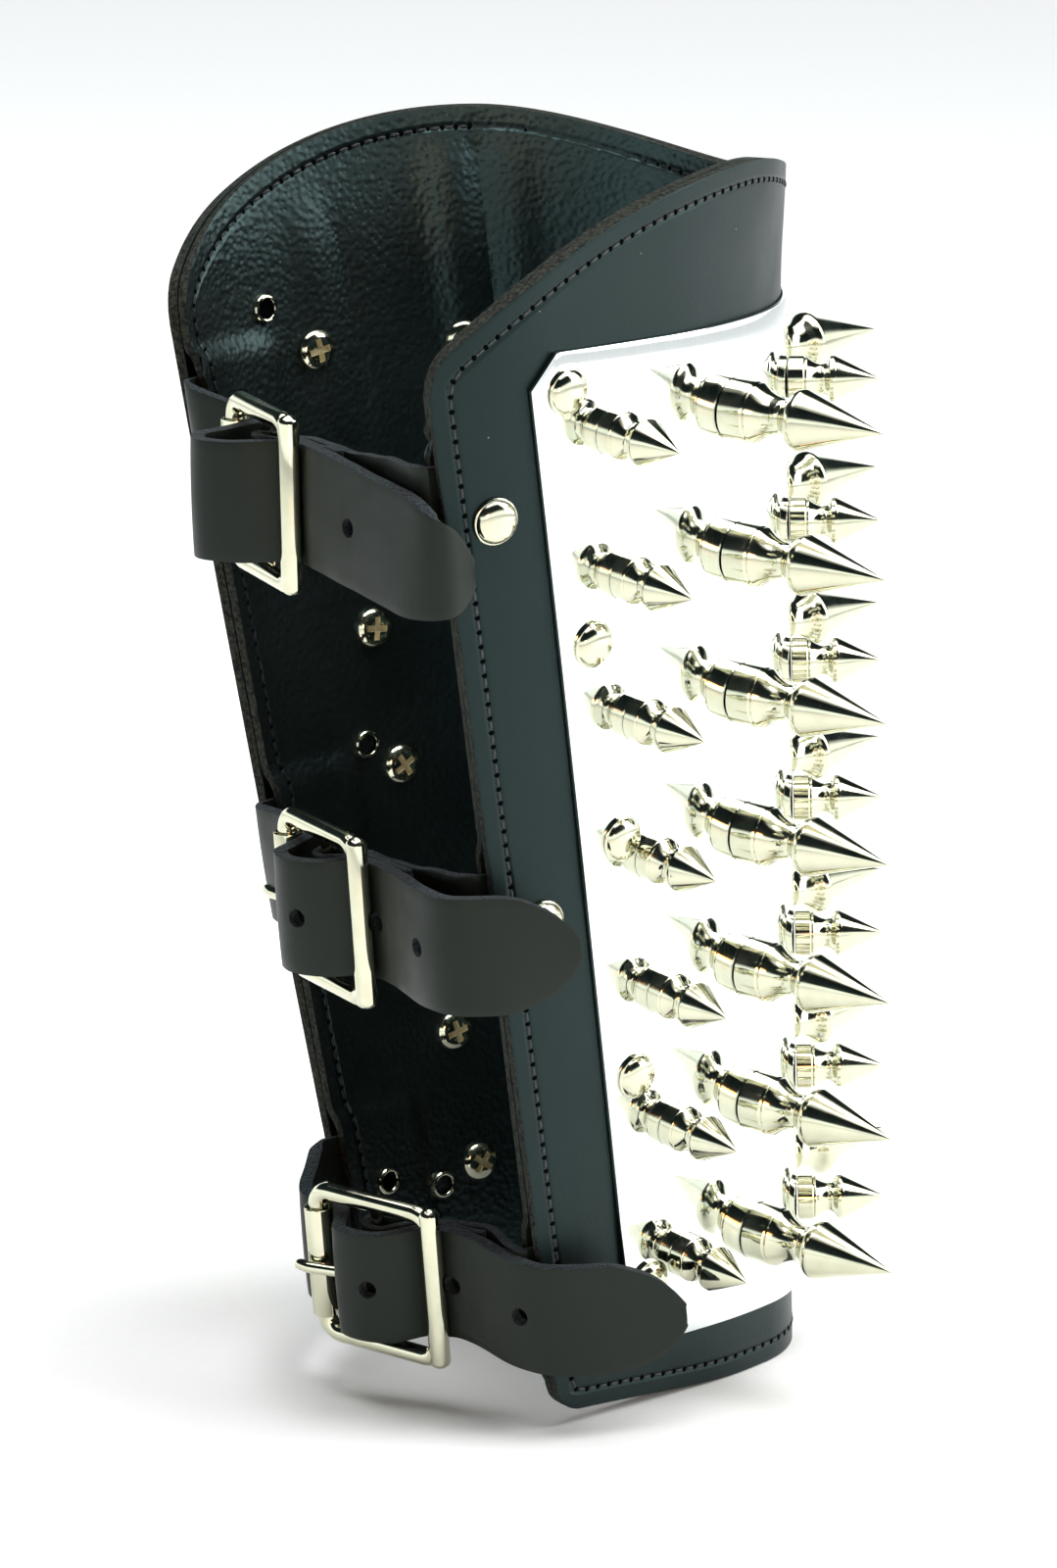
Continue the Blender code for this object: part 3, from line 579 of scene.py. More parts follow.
def ranged(tree, value, low, high, to_low, to_high, kind="LINEAR"):
    node = add_node(tree, "ShaderNodeMapRange", {"interpolation_type": kind}, links={"Value": value})
    node.inputs["From Min"].default_value = low
    node.inputs["From Max"].default_value = high
    node.inputs["To Min"].default_value = to_low
    node.inputs["To Max"].default_value = to_high
    return node.outputs["Result"]


def coloured(tree, shader, share, low, high):
    """Gives the surface a colour between two, by a share."""
    tree.links.new(mixed(tree, share, low, high), shader.inputs["Base Color"])


def rubbed(tree, shader, value, low, high, to_low, to_high):
    """Gives the surface a roughness that follows a pattern."""
    tree.links.new(ranged(tree, value, low, high, to_low, to_high), shader.inputs["Roughness"])


def bumped(tree, shader, height, depth, strength=1.0, before=None):
    links = {"Height": height}
    if before:
        links["Normal"] = before
    bump = add_node(tree, "ShaderNodeBump", None, {"Distance": depth, "Strength": strength}, links)
    tree.links.new(bump.outputs["Normal"], shader.inputs["Normal"])
    return bump.outputs["Normal"]


def grain_finish(name, roughness, metallic, size, low, high, kind="ShaderNodeTexNoise", **sockets):
    """A finish whose colour follows one fine pattern; also gives what a bump needs."""
    finish, tree, shader, where = new_finish(name, roughness, metallic, **sockets)
    grain = grained(tree, where, kind, size).outputs["Fac"]
    coloured(tree, shader, grain, low, high)
    return finish, tree, shader, grain


def fibre_finish(name, roughness, size, low, high, depth, strength, **sockets):
    """Open fibres, light ones standing over dark ones."""
    finish, tree, shader, where = new_finish(name, roughness, **sockets)
    fibres = grained(tree, where, "ShaderNodeTexNoise", size).outputs["Fac"]
    coloured(tree, shader, ranged(tree, fibres, 0.35, 0.7, 0.0, 1.0), low, high)
    bumped(tree, shader, fibres, depth, strength)
    return finish


def stitch_groove(tree):
    """0 in the channel that the stitches have pulled, 1 away from it."""
    edge = add_node(tree, "ShaderNodeAttribute", {"attribute_name": "from_edge"})
    off = add_node(tree, "ShaderNodeMath", {"operation": "SUBTRACT"}, {1: STITCH_INSET},
                   {0: edge.outputs["Fac"]})
    size = add_node(tree, "ShaderNodeMath", {"operation": "ABSOLUTE"}, None, {0: off.outputs[0]})
    return ranged(tree, size.outputs[0], 0.0, GROOVE_HALF_WIDE, 0.0, 1.0, "SMOOTHSTEP")


def satin_leather():
    """Pigment-finished cowhide: nearly black, with a cool satin sheen, faint pores and some dust."""
    finish, tree, shader, where = new_finish("satin_pigmented_cowhide", 0.4, Specular_IOR_Level=0.33)
    shader.inputs["Specular Tint"].default_value = shade("#c2f2f0")
    cloudy = grained(tree, where, "ShaderNodeTexNoise", 18 * MM)
    colour = mixed(tree, cloudy.outputs["Fac"], "#070b0b", "#0c1314")
    dust = grained(tree, where, "ShaderNodeTexVoronoi", 8 * MM)
    speck = ranged(tree, dust.outputs["Distance"], 0.016, 0.024, 1.0, 0.0)
    dusty = add_node(tree, "ShaderNodeMix", {"data_type": "RGBA"}, None, {0: speck})
    tree.links.new(colour, dusty.inputs[6])
    dusty.inputs[7].default_value = shade("#7d8a8b")
    tree.links.new(dusty.outputs[2], shader.inputs["Base Color"])
    rubbed(tree, shader, cloudy.outputs["Fac"], 0.3, 0.7, 0.36, 0.46)
    pores = grained(tree, where, "ShaderNodeTexVoronoi", 0.9 * MM)
    skin = bumped(tree, shader, pores.outputs["Distance"], 0.02 * MM, 0.7)
    bumped(tree, shader, stitch_groove(tree), 0.35 * MM, 0.9, skin)
    return finish


def pebbled_leather():
    """Soft, glossy black lining hide, whose pebbled grain breaks its highlights into small scales."""
    finish, tree, shader, where = new_finish("pebbled_lining_hide", 0.36, Specular_IOR_Level=0.8)
    shader.inputs["Specular Tint"].default_value = shade("#c4f0f0")
    cloudy = grained(tree, where, "ShaderNodeTexNoise", 25 * MM)
    coloured(tree, shader, cloudy.outputs["Fac"], "#06090a", "#0e1010")
    rubbed(tree, shader, cloudy.outputs["Fac"], 0.3, 0.7, 0.38, 0.48)
    pebbles = grained(tree, where, "ShaderNodeTexVoronoi", 1.3 * MM, feature="SMOOTH_F1")
    wrinkles = grained(tree, where, "ShaderNodeTexNoise", 3.5 * MM)
    skin = bumped(tree, shader, pebbles.outputs["Distance"], 0.28 * MM, 1.0)
    crinkled = bumped(tree, shader, wrinkles.outputs["Fac"], 0.2 * MM, 0.15, skin)
    bumped(tree, shader, stitch_groove(tree), 0.5 * MM, 1.0, crinkled)
    return finish


def raw_edge():
    """The cut edge of the hide: olive-grey fibres between black ones, quite matt."""
    return fibre_finish("raw_cut_hide_edge", 0.9, 0.9 * MM, "#0c0e0e", "#34372f", 0.25 * MM, 0.9,
                        Specular_IOR_Level=0.2)


def strap_face():
    """Dyed strap leather, buffed: nearly black, with a soft grey satin shine."""
    finish, tree, shader, where = new_finish("dyed_strap_hide", 0.48, Specular_IOR_Level=0.3)
    shader.inputs["Specular Tint"].default_value = shade("#dcf2e6")
    cloudy = grained(tree, where, "ShaderNodeTexNoise", 9 * MM)
    coloured(tree, shader, cloudy.outputs["Fac"], "#0c0e0c", "#171916")
    rubbed(tree, shader, cloudy.outputs["Fac"], 0.3, 0.7, 0.42, 0.54)
    grain = grained(tree, where, "ShaderNodeTexNoise", 0.6 * MM)
    bumped(tree, shader, grain.outputs["Fac"], 0.04 * MM, 0.6)
    return finish


def strap_suede():
    """Fuzzy blue-black fibre on the cut edges and the flesh side of the straps."""
    return fibre_finish("blue_black_suede", 0.95, 0.7 * MM, "#0b0f11", "#2b363b", 0.3 * MM, 1.0,
                        Specular_IOR_Level=0.15, Sheen_Weight=0.1, Sheen_Roughness=0.5)


def bright_nickel():
    """Bright nickel over zinc alloy: a warm, faintly green mirror with soft handling marks."""
    finish, tree, shader, where = new_finish("bright_nickel_plating", 0.09, 1.0)
    cloudy = grained(tree, where, "ShaderNodeTexNoise", 4 * MM)
    coloured(tree, shader, cloudy.outputs["Fac"], "#c6c5aa", "#dbdac4")
    rubbed(tree, shader, cloudy.outputs["Fac"], 0.3, 0.7, 0.06, 0.14)
    return finish


def mirror_plate_finish():
    """Mirror-polished steel sheet, with the slight waviness and hair scratches of rolled stock."""
    finish, tree, shader, where = new_finish("mirror_polished_sheet", 0.03, 1.0)
    stretched = add_node(tree, "ShaderNodeMapping", None, {"Scale": (1.0, 1.0, 0.05)}, {"Vector": where})
    hairs = grained(tree, stretched.outputs["Vector"], "ShaderNodeTexNoise", 0.5 * MM)
    coloured(tree, shader, hairs.outputs["Fac"], "#e9eeee", "#f6f9f9")
    rubbed(tree, shader, hairs.outputs["Fac"], 0.45, 0.75, 0.02, 0.10)
    waves = grained(tree, where, "ShaderNodeTexNoise", 40 * MM)
    bumped(tree, shader, waves.outputs["Fac"], 0.3 * MM, 0.5)
    return finish


def waxed_thread():
    """Black waxed thread: twisted, with a dull shine."""
    finish, tree, shader, twist = grain_finish("black_waxed_thread", 0.45, 0.0, 0.7 * MM,
                                               "#0c0e0f", "#2c3334", "ShaderNodeTexWave")
    bumped(tree, shader, twist, 0.1 * MM, 0.8)
    return finish


def needle_hole():
    """Painted shadow for the inside of a needle hole: near-black, a little uneven."""
    return grain_finish("needle_hole_shadow", 1.0, 0.0, 0.4 * MM, "#020303", "#0b0d0e",
                        Specular_IOR_Level=0.0)[0]


def worn_brass():
    """Pale, dull brass laid bare in a screw's cross recess."""
    return grain_finish("worn_brass_recess", 0.45, 0.35, 0.8 * MM, "#b9af80", "#ece5c4")[0]


def studio_floor():
    """Matt white card, with barely visible tooth."""
    return grain_finish("matt_white_card", 0.6, 0.0, 3 * MM, "#f6f8f8", "#fbfcfc",
                        Specular_IOR_Level=0.3)[0]


SATIN = satin_leather()
PEBBLED = pebbled_leather()
RAW_EDGE = raw_edge()
STRAP_FACE = strap_face()
SUEDE = strap_suede()
NICKEL = bright_nickel()
MIRROR = mirror_plate_finish()
WAXED = waxed_thread()
HOLE_SHADOW = needle_hole()
BRASS = worn_brass()


def fit(piece, slot, *nodes):
    """Puts a finished piece on the part, in place of its solids."""
    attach(piece, "root")
    if nodes:
        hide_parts(*nodes)


# Leather plies

def distance_from_edge(share, z):
    """How far a place on a ply lies from its nearest edge."""
    step = 0.004
    low_slope = (leather_low(share + step) - leather_low(share - step)) / (2 * step * half_girth(z))
    high_slope = (leather_high(share + step) - leather_high(share - step)) / (2 * step * half_girth(z))
    low = (z - leather_low(share)) / math.hypot(1, low_slope)
    high = (leather_high(share) - z) / math.hypot(1, high_slope)
    return min(low, high, (1 - abs(share)) * half_girth(z))


def eased_share(share):
    """Closer together towards both ends."""
    return 0.5 - 0.5 * math.cos(math.pi * share) if share not in (0.0, 1.0) else share


def add_ply(name, face, thickness, push, finish):
    """One ply, laid over the wall from its outer face inwards."""
    def place(across, up):
        share = 2 * blend(across, eased_share(across), 0.55) - 1
        share = min(max(share, -1.0), 1.0)
        rise = blend(up, eased_share(up), 0.4)
        return share, blend(leather_low(share), leather_high(share), rise)

    def at(across, up):
        share, z = place(across, up)
        return wall_point(share * half_girth(z), z, face - push(share, z))

    ply, shares = add_sheet(name, PLY_COLUMNS, PLY_ROWS, at)
    from_edge = ply.data.attributes.new("from_edge", "FLOAT", "POINT")
    for index, (across, up) in enumerate(shares):
        share, z = place(across, up)
        from_edge.data[index].value = distance_from_edge(min(max(share, -0.994), 0.994), z)
    give(ply, finish, RAW_EDGE)
    thicken(ply, thickness, -1.0, PLY_EASED)
    return ply


def handling(share, z):
    """The slight unevenness of a hide that has been bent and sewn."""
    u, v = share * 9, z / HEIGHT * 7
    return 0.12 * MM * (math.sin(u + 1.7 * v) + math.sin(2.3 * v - 1.1 * u + 1))


outer_ply = add_ply("satin_outer_ply", 0.0, OUTER_PLY, lambda share, z: 0.0, SATIN)
fit(outer_ply, "smooth_leather", "leather_outer")
lining_ply = add_ply("pebbled_lining_ply", LINING_FACE, LINING_PLY,
                     lambda share, z: lining_push(share, z) + handling(share, z), PEBBLED)
fit(lining_ply, "lining_leather", "leather_lining")


# Stitching

def stitch_line():
    """Evenly spaced places on the seam, as (share, height, angle of the seam on the wall)."""
    def flat(share, z):
        return Vector((share * half_girth(z), z))

    outline = [flat(share, leather_low(share)) for share in np.linspace(-1, 1, 500)]
    outline += [flat(1, z) for z in np.linspace(leather_low(1), leather_high(1), 300)[1:-1]]
    outline += [flat(share, leather_high(share)) for share in np.linspace(1, -1, 600)]
    outline += [flat(-1, z) for z in np.linspace(leather_high(-1), leather_low(-1), 300)[1:-1]]
    count = len(outline)
    seam = []
    for k, point in enumerate(outline):
        along = outline[(k + 3) % count] - outline[k - 3]
        inside = Vector((-along.y, along.x)).normalized()
        candidate = point + inside * STITCH_INSET
        if min((candidate - other).length for other in outline[::4]) > 0.93 * STITCH_INSET:
            seam.append(candidate)
    seam.append(seam[0])
    lengths = np.concatenate([[0], np.cumsum([(b - a).length for a, b in zip(seam, seam[1:])])])
    stitches = round(lengths[-1] / STITCH_PITCH)
    wanted = np.linspace(0, lengths[-1], stitches + 1)
    across = np.interp(wanted, lengths, [point.x for point in seam])
    up = np.interp(wanted, lengths, [point.y for point in seam])
    places = []
    for k in range(stitches):
        x, z = (across[k] + across[k + 1]) / 2, (up[k] + up[k + 1]) / 2
        angle = math.atan2(up[k + 1] - up[k], across[k + 1] - across[k])
        places.append((x, z, angle))
    return places


def model_stitch():
    """One stitch: a short run of thread that dives into its needle hole, which is a flat near-black blob of
    painted shadow.
    """
    deselect_all()
    bpy.ops.mesh.primitive_uv_sphere_add(segments=8, ring_count=6, radius=0.5)
    thread = bpy.context.active_object
    thread.data.transform(Matrix.Diagonal((0.72 * STITCH_PITCH, THREAD, 0.5 * THREAD, 1)))
    give(thread, WAXED, HOLE_SHADOW)
    deselect_all()
    # The needle hole is no real hole: a flat blob whose near-black finish is painted shadow.
    bpy.ops.mesh.primitive_uv_sphere_add(segments=8, ring_count=4, radius=0.5)
    hole = bpy.context.active_object
    hole.data.transform(Matrix.Translation((STITCH_PITCH / 2, 0, 0))
                        @ Matrix.Diagonal((1.1 * MM, 1.3 * MM, 0.36 * MM, 1)))
    give_inside(hole, WAXED, HOLE_SHADOW)
    stitch = join("stitch_model", [thread, hole])
    smooth_faces(stitch, 80)
    return stitch


seam_places = stitch_line()
stitch_model = model_stitch()
outer_stitches = []
lining_stitches = []
for number, (arc, z, angle) in enumerate(seam_places):
    along = Matrix.Rotation(angle, 4, "Z")
    outer_stitches.append(copy_to(stitch_model, f"outer_stitch_{number}", wall_frame(arc, z) @ along))
    turned = Matrix.Rotation(-angle, 4, "Z")
    lining_stitches.append(copy_to(stitch_model, f"lining_stitch_{number}", lining_frame(arc, z) @ turned))
fit(join("outer_stitching", outer_stitches), "smooth_leather")
fit(join("lining_stitching", lining_stitches), "lining_leather")
remove(stitch_model)


# Plate

def add_plate():
    """The metal sheet, with its two upper corners cut off."""
    corner = 1 - PLATE_CHAMFER / plate_edge(PLATE_HIGH)

    def at(across, up):
        share = min(max(2 * blend(across, eased_share(across), 0.6) - 1, -1.0), 1.0)
        cut_off = PLATE_CHAMFER * max(abs(share) - corner, 0.0) / (1 - corner)
        z = blend(PLATE_LOW, PLATE_HIGH - cut_off, up)
        return wall_point(share * plate_edge(z), z, PLATE_FACE)

    plate = add_sheet("mirror_plate", PLATE_COLUMNS, PLATE_ROWS, at)[0]
    give(plate, MIRROR, MIRROR)
    thicken(plate, PLATE_THICK, -1.0, METAL_EASED)
    return plate


plate = add_plate()
fit(plate, "mirror_metal", "plate_and_short_spikes")


# Spikes, rivets and screws

def cross_screw():
    """A pan head with a cross recess, brassy inside."""
    screw = add_turned("screw_model", SCREW_TURNING, SCREW_HIGH, SCREW_DIAMETER / 2, SMALL_SIDES)
    give(screw, NICKEL, BRASS)
    for turn in (0, math.pi / 2):
        deselect_all()
        bpy.ops.mesh.primitive_cube_add(size=1)
        slot = bpy.context.active_object
        slot.data.transform(Matrix.Rotation(turn, 4, "Z")
                            @ Matrix.Translation((0, 0, SCREW_HIGH))
                            @ Matrix.Diagonal((RECESS_LONG * SCREW_DIAMETER, RECESS_WIDE * SCREW_DIAMETER,
                                               1.1 * SCREW_HIGH, 1)))
        give_inside(slot, NICKEL, BRASS)
        cut(screw, slot)
    smooth_faces(screw, 32)
    return screw


def spike_places():
    """Every spike's column, side and row, and its place on the wall."""
    for column in COLUMNS:
        for side in column.sides:
            for row in range(1, SPIKE_ROWS + 1):
                yield column, side, row, column_arc(column, side, row), row_height(row)


short_spike = add_turned("short_spike_model", SHORT_SPIKE_TURNING, SHORT_SPIKE_LENGTH,
                         SHORT_SPIKE_DIAMETER / 2, SPIKE_SIDES)
long_spike = add_turned("long_spike_model", LONG_SPIKE_TURNING, LONG_SPIKE_LENGTH,
                        LONG_SPIKE_DIAMETER / 2, SPIKE_SIDES)
screw = cross_screw()
give(short_spike, NICKEL)
give(long_spike, NICKEL)
short_spikes = []
screws = []
for column, side, row, arc, z in spike_places():
    where = column.name if len(column.sides) == 1 else SIDE_NAMES[side]
    if column.long:
        node = f"long_spike_{where}_{row}"
        spike = copy_to(long_spike, f"turned_{node}", wall_frame(arc, z, PLATE_FACE + SEAT))
        fit(spike, "bright_nickel", node)
    else:
        spike = copy_to(short_spike, f"short_spike_{column.name}_{where}_{row}",
                        wall_frame(arc, z, PLATE_FACE + SEAT))
        short_spikes.append(spike)
    tightened = Matrix.Rotation(math.radians(37 * row + 61 * side + 143 * column.wrist), 4, "Z")
    screws.append(copy_to(screw, f"screw_{column.name}_{side}_{row}", lining_frame(arc, z) @ tightened))
fit(join("short_spikes", short_spikes), "bright_nickel")
fit(join("cross_screws", screws), "bright_nickel")

rivet = add_turned("rivet_model", RIVET_TURNING, RIVET_HIGH, RIVET_DIAMETER / 2, ROUND_SIDES)
rivet_end = add_turned("rivet_end_model", RIVET_END_TURNING, RIVET_END_HIGH, RIVET_END_DIAMETER / 2,
                       SMALL_SIDES)
give(rivet, NICKEL)
# Rivet ends are nickel, but the faces of their bore take the near-black hole finish: painted shade in the
# hollow.
give(rivet_end, NICKEL, HOLE_SHADOW)
for face in rivet_end.data.polygons:
    if face.center.xy.length < 0.5 * RIVET_END_DIAMETER * RIVET_END_BORE:
        face.material_index = 1
rivet_ends = []
for side in (LEFT, RIGHT):
    for number, plate_rivet in enumerate(PLATE_RIVETS, start=1):
        z = blend(PLATE_LOW, PLATE_HIGH, plate_rivet.height)
        arc = side * (plate_edge(z) - plate_rivet.inset * RIVET_DIAMETER)
        node = f"plate_rivet_{SIDE_NAMES[side]}_{number}"
        domed = copy_to(rivet, f"domed_{node}", wall_frame(arc, z, PLATE_FACE + SEAT))
        fit(domed, "bright_nickel", node)
        rivet_ends.append(copy_to(rivet_end, f"end_{node}", lining_frame(arc, z)))
    for strap in STRAPS:
        z = (strap.right if side == RIGHT else strap.left) * HEIGHT
        arc = side * (half_girth(z) - STRAP_RIVET_INSET)
        node = f"strap_rivet_{SIDE_NAMES[side]}_{strap.name}"
        domed = copy_to(rivet, f"domed_{node}", wall_frame(arc, z, SEAT))
        fit(domed, "bright_nickel", node)
        rivet_ends.append(copy_to(rivet_end, f"end_{node}", lining_frame(arc, z)))
fit(join("rivet_ends", rivet_ends), "bright_nickel")
for model in (short_spike, long_spike, screw, rivet, rivet_end):
    remove(model)


# Buckles

def buckle_place(strap):
    """The buckle's own frame: +X along the strap to the roller, +Y outwards, +Z up the bars."""
    z = strap.buckle * HEIGHT
    edge = wall_point(half_girth(z), z)
    centre = Vector((ORIGIN.x + strap.across * STRAP_WIDTH, edge.y + strap.back * STRAP_WIDTH, z))
    turn = Matrix.Rotation(math.radians(strap.turn), 4, "Z")
    lean = Matrix.Rotation(math.radians(-strap.lean), 4, "X")
    return Matrix.Translation(centre) @ turn @ lean


def bend_points(centre, radius, angles):
    """Places on a bend, as (along, out) pairs in the buckle's own frame; angles in degrees."""
    turns = [math.radians(angle) for angle in angles]
    return [(centre[0] + radius * math.cos(turn), centre[1] + radius * math.sin(turn)) for turn in turns]


def frame_route():
    """The frame's outline, round its four corners."""
    route = []
    for quarter in range(4):
        middle = math.radians(45 + 90 * quarter)
        corner_x = math.copysign(END_BAR - BUCKLE_CORNER, math.cos(middle))
        corner_z = math.copysign(RAIL - BUCKLE_CORNER, math.sin(middle))
        for step in range(-45, 46, 9):
            angle = middle + math.radians(step)
            route.append(Vector((corner_x + BUCKLE_CORNER * math.cos(angle), 0.0,
                                 corner_z + BUCKLE_CORNER * math.sin(angle))))
    return route


def prong_route():
    """The prong is a wire bent round the centre bar, its tip resting on the roller."""
    around_bar = bend_points((0.0, -CENTRE_BAR_SET_BACK), PRONG_WRAP, range(-50, -271, -20))
    route = [Vector((*pair, 0.0)) for pair in around_bar]
    for share in np.linspace(0.15, 1, 7):
        route.append(Vector((share * END_BAR,
                             blend(PRONG_WRAP - CENTRE_BAR_SET_BACK, PRONG_TOP, share), 0.0)))
    for share in (0.35, 0.7, 0.85, 0.95, 1.0):
        route.append(Vector((END_BAR + share * PRONG_OVERHANG, PRONG_TOP - PRONG_DROP * share * share, 0.0)))
    return route


def keeper_route():
    """The straight bar at the tip's end of the buckle, a little longer than the frame is tall."""
    reach = RAIL + KEEPER_OVERHANG
    heights = [-reach, -reach + 0.3 * MM, -reach + 0.9 * MM, -reach + 1.6 * MM]
    heights += [-height for height in reversed(heights)]
    return [Vector((-END_BAR, 0.0, height)) for height in heights]


def add_roller(name):
    """A tube rolled from strip, its seam left open by a hair."""
    deselect_all()
    half = RAIL - BUCKLE_CORNER - CLEAR
    bpy.ops.mesh.primitive_cylinder_add(vertices=ROLLER_SIDES, radius=ROLLER_RADIUS, depth=2 * half,
                                        end_fill_type="NOTHING", location=(END_BAR, 0, 0))
    roller = bpy.context.active_object
    roller.name = name
    bpy.ops.object.transform_apply(location=True, rotation=False, scale=False)
    for face in roller.data.polygons:
        angle = math.atan2(face.center.y, face.center.x - END_BAR)
        face.select = abs(angle - ROLLER_SEAM) < math.pi / ROLLER_SIDES
    for part in (*roller.data.edges, *roller.data.vertices):
        part.select = False
    bpy.ops.object.mode_set(mode="EDIT")
    bpy.ops.mesh.select_mode(type="FACE")
    bpy.ops.mesh.delete(type="FACE")
    bpy.ops.object.mode_set(mode="OBJECT")
    give(roller, NICKEL, NICKEL)
    thicken(roller, ROLLER_WALL, -1.0, METAL_EASED)
    return roller


for strap in STRAPS:
    place = buckle_place(strap)
    ring = add_wire(f"wire_frame_{strap.name}", frame_route(), BUCKLE_WIRE / 2, closed=True)
    bar_ends = [Vector((0.0, -CENTRE_BAR_SET_BACK, -RAIL)), Vector((0.0, -CENTRE_BAR_SET_BACK, RAIL))]
    bar = add_wire("centre_bar", bar_ends, CENTRE_BAR / 2)
    keeper = add_wire("keeper_bar", keeper_route(), KEEPER_WIRE / 2, ends=KEEPER_END, both_ends=True)
    whole = join(f"wire_frame_{strap.name}", [ring, bar, keeper])
    roller = add_roller(f"seamed_roller_{strap.name}")
    prong = add_wire(f"bent_prong_{strap.name}", prong_route(), PRONG_WIRE / 2, ends=PRONG_END)
    for piece, node in ((whole, "frame"), (roller, "roller"), (prong, "prong")):
        piece.data.transform(place)
        give(piece, NICKEL)
        fit(piece, "bright_nickel", f"buckle_{node}_{strap.name}")


# Straps

Route = namedtuple("Route", "points step length")


def smooth_route(knots):
    """Evenly spaced points on a smooth curve through the knots."""
    ends = [knots[0] * 2 - knots[1]] + knots + [knots[-1] * 2 - knots[-2]]
    fine = []
    for k in range(1, len(ends) - 2):
        a, b, c, d = ends[k - 1:k + 3]
        for part in np.linspace(0, 1, 16, endpoint=False):
            fine.append(0.5 * (2 * b + (c - a) * part + (2 * a - 5 * b + 4 * c - d) * part ** 2
                               + (3 * b - a - 3 * c + d) * part ** 3))
    fine.append(knots[-1])
    lengths = [0.0]
    for before, after in zip(fine, fine[1:]):
        lengths.append(lengths[-1] + (after - before).length)
    count = max(2, round(lengths[-1] / ROUTE_STEP))
    wanted = np.linspace(0, lengths[-1], count + 1)
    sampled = [np.interp(wanted, lengths, [point[axis] for point in fine]) for axis in range(3)]
    points = [Vector(values) for values in zip(*sampled)]
    return Route(points, lengths[-1] / count, lengths[-1])


def on_route(route, gone):
    """Point and direction at a distance from the route's start."""
    place = min(max(gone / route.step, 0.0), len(route.points) - 1.0)
    index = min(int(place), len(route.points) - 2)
    point = route.points[index].lerp(route.points[index + 1], place - index)
    ahead = route.points[min(index + 3, len(route.points) - 1)]
    along = (ahead - route.points[max(index - 2, 0)]).normalized()
    return point, along


def buckle_up(strap):
    return buckle_place(strap).to_3x3() @ Vector((0, 0, 1))


def flap_up(side, z):
    """The way up along a flap, close to its edge."""
    step = STRAP_WIDTH / 2
    share = 1 - ANCHOR_DEPTH / 2 / half_girth(z)
    high = wall_point(side * share * half_girth(z + step), z + step)
    return (high - wall_point(side * share * half_girth(z - step), z - step)).normalized()


def anchored_knots(side, z, beyond):
    """From deep between the plies to just beyond the flap's edge."""
    return [wall_point(side * (half_girth(z) - inset), z, ANCHOR_MIDDLE)
            for inset in (ANCHOR_DEPTH, ANCHOR_DEPTH / 2, 0.0, -beyond)]


def turning_knot(start, end, backwards):
    """Where a strap that leaves a flap backwards has turned half way towards the buckle."""
    return start.lerp(end, 0.3) + Vector((0.0, backwards, 0.0))


def tail_knots(strap):
    """The tail strap's centre line, from the right flap through the buckle to its tip."""
    place = buckle_place(strap)
    half = STRAP_THICK / 2
    bulge = strap.bulge * STRAP_WIDTH
    under_roller = -(ROLLER_RADIUS + CLEAR + half)
    under_keeper = -(BUCKLE_WIRE / 2 + CLEAR + half)
    knots = anchored_knots(RIGHT, strap.right * HEIGHT, 5 * MM)
    knots.append(turning_knot(knots[-1], place @ Vector((END_BAR + 8 * MM, under_roller, 0.0)), 1 * MM))
    knots.append(place @ Vector((END_BAR + 8 * MM, under_roller - 0.6 * MM, 0.0)))
    pairs = bend_points((END_BAR, 0.0), -under_roller + 0.3 * MM, (-90, -120, -150))
    pairs += [
        (0.46 * END_BAR, 0.50 * bulge),
        (0.32 * END_BAR, 0.92 * bulge),
        (-0.06 * END_BAR, bulge),
        (-0.42 * END_BAR, 0.60 * bulge),
        (-0.72 * END_BAR, under_keeper + 1.6 * MM),
        (-END_BAR, under_keeper),
        (-END_BAR - 7 * MM, under_keeper - 0.3 * MM),
    ]
    knots += [place @ Vector((*pair, 0.0)) for pair in pairs]
    z = strap.tip * HEIGHT
    seat = CLEAR + half
    level = blend(strap.buckle, strap.tip, 0.6) * HEIGHT
    bend = half_girth(level) + strap.bend * STRAP_WIDTH
    knots.append(wall_point(LEFT * bend, level, seat + strap.bend_off * STRAP_WIDTH))
    ending = half_girth(z) - strap.past * STRAP_WIDTH
    knots.append(wall_point(LEFT * ending, z, seat + strap.off * STRAP_WIDTH))
    return knots


def billet_knots(strap):
    """The billet's centre line, from the left flap round the centre bar and back."""
    place = buckle_place(strap)
    half = BILLET_THICK / 2
    wrap = CENTRE_BAR / 2 + CLEAR + half
    upper = -(BUCKLE_WIRE / 2 + 2 * CLEAR + STRAP_THICK + half)
    lower = upper - BILLET_THICK - CLEAR
    knots = anchored_knots(LEFT, strap.left * HEIGHT, 2.5 * MM)
    knots.append(turning_knot(knots[-1], place @ Vector((-END_BAR - 9 * MM, lower, 0.0)), 0.3 * MM))
    pairs = [
        (-END_BAR - 8 * MM, lower - 1.4 * MM),
        (-END_BAR, lower),
        (-0.45 * END_BAR, lower + 1.6 * MM),
        (-0.16 * END_BAR, -CENTRE_BAR_SET_BACK - wrap - 0.6 * MM),
    ]
    pairs += bend_points((0.0, -CENTRE_BAR_SET_BACK), wrap, (-90, -45, 0, 45, 90))
    pairs += [
        (-0.22 * END_BAR, wrap - CENTRE_BAR_SET_BACK - 0.9 * MM),
        (-0.55 * END_BAR, upper + 1.6 * MM),
        (-END_BAR, upper),
        (-BILLET_RETURN, upper - 0.9 * MM),
    ]
    return knots + [place @ Vector((*pair, 0.0)) for pair in pairs]


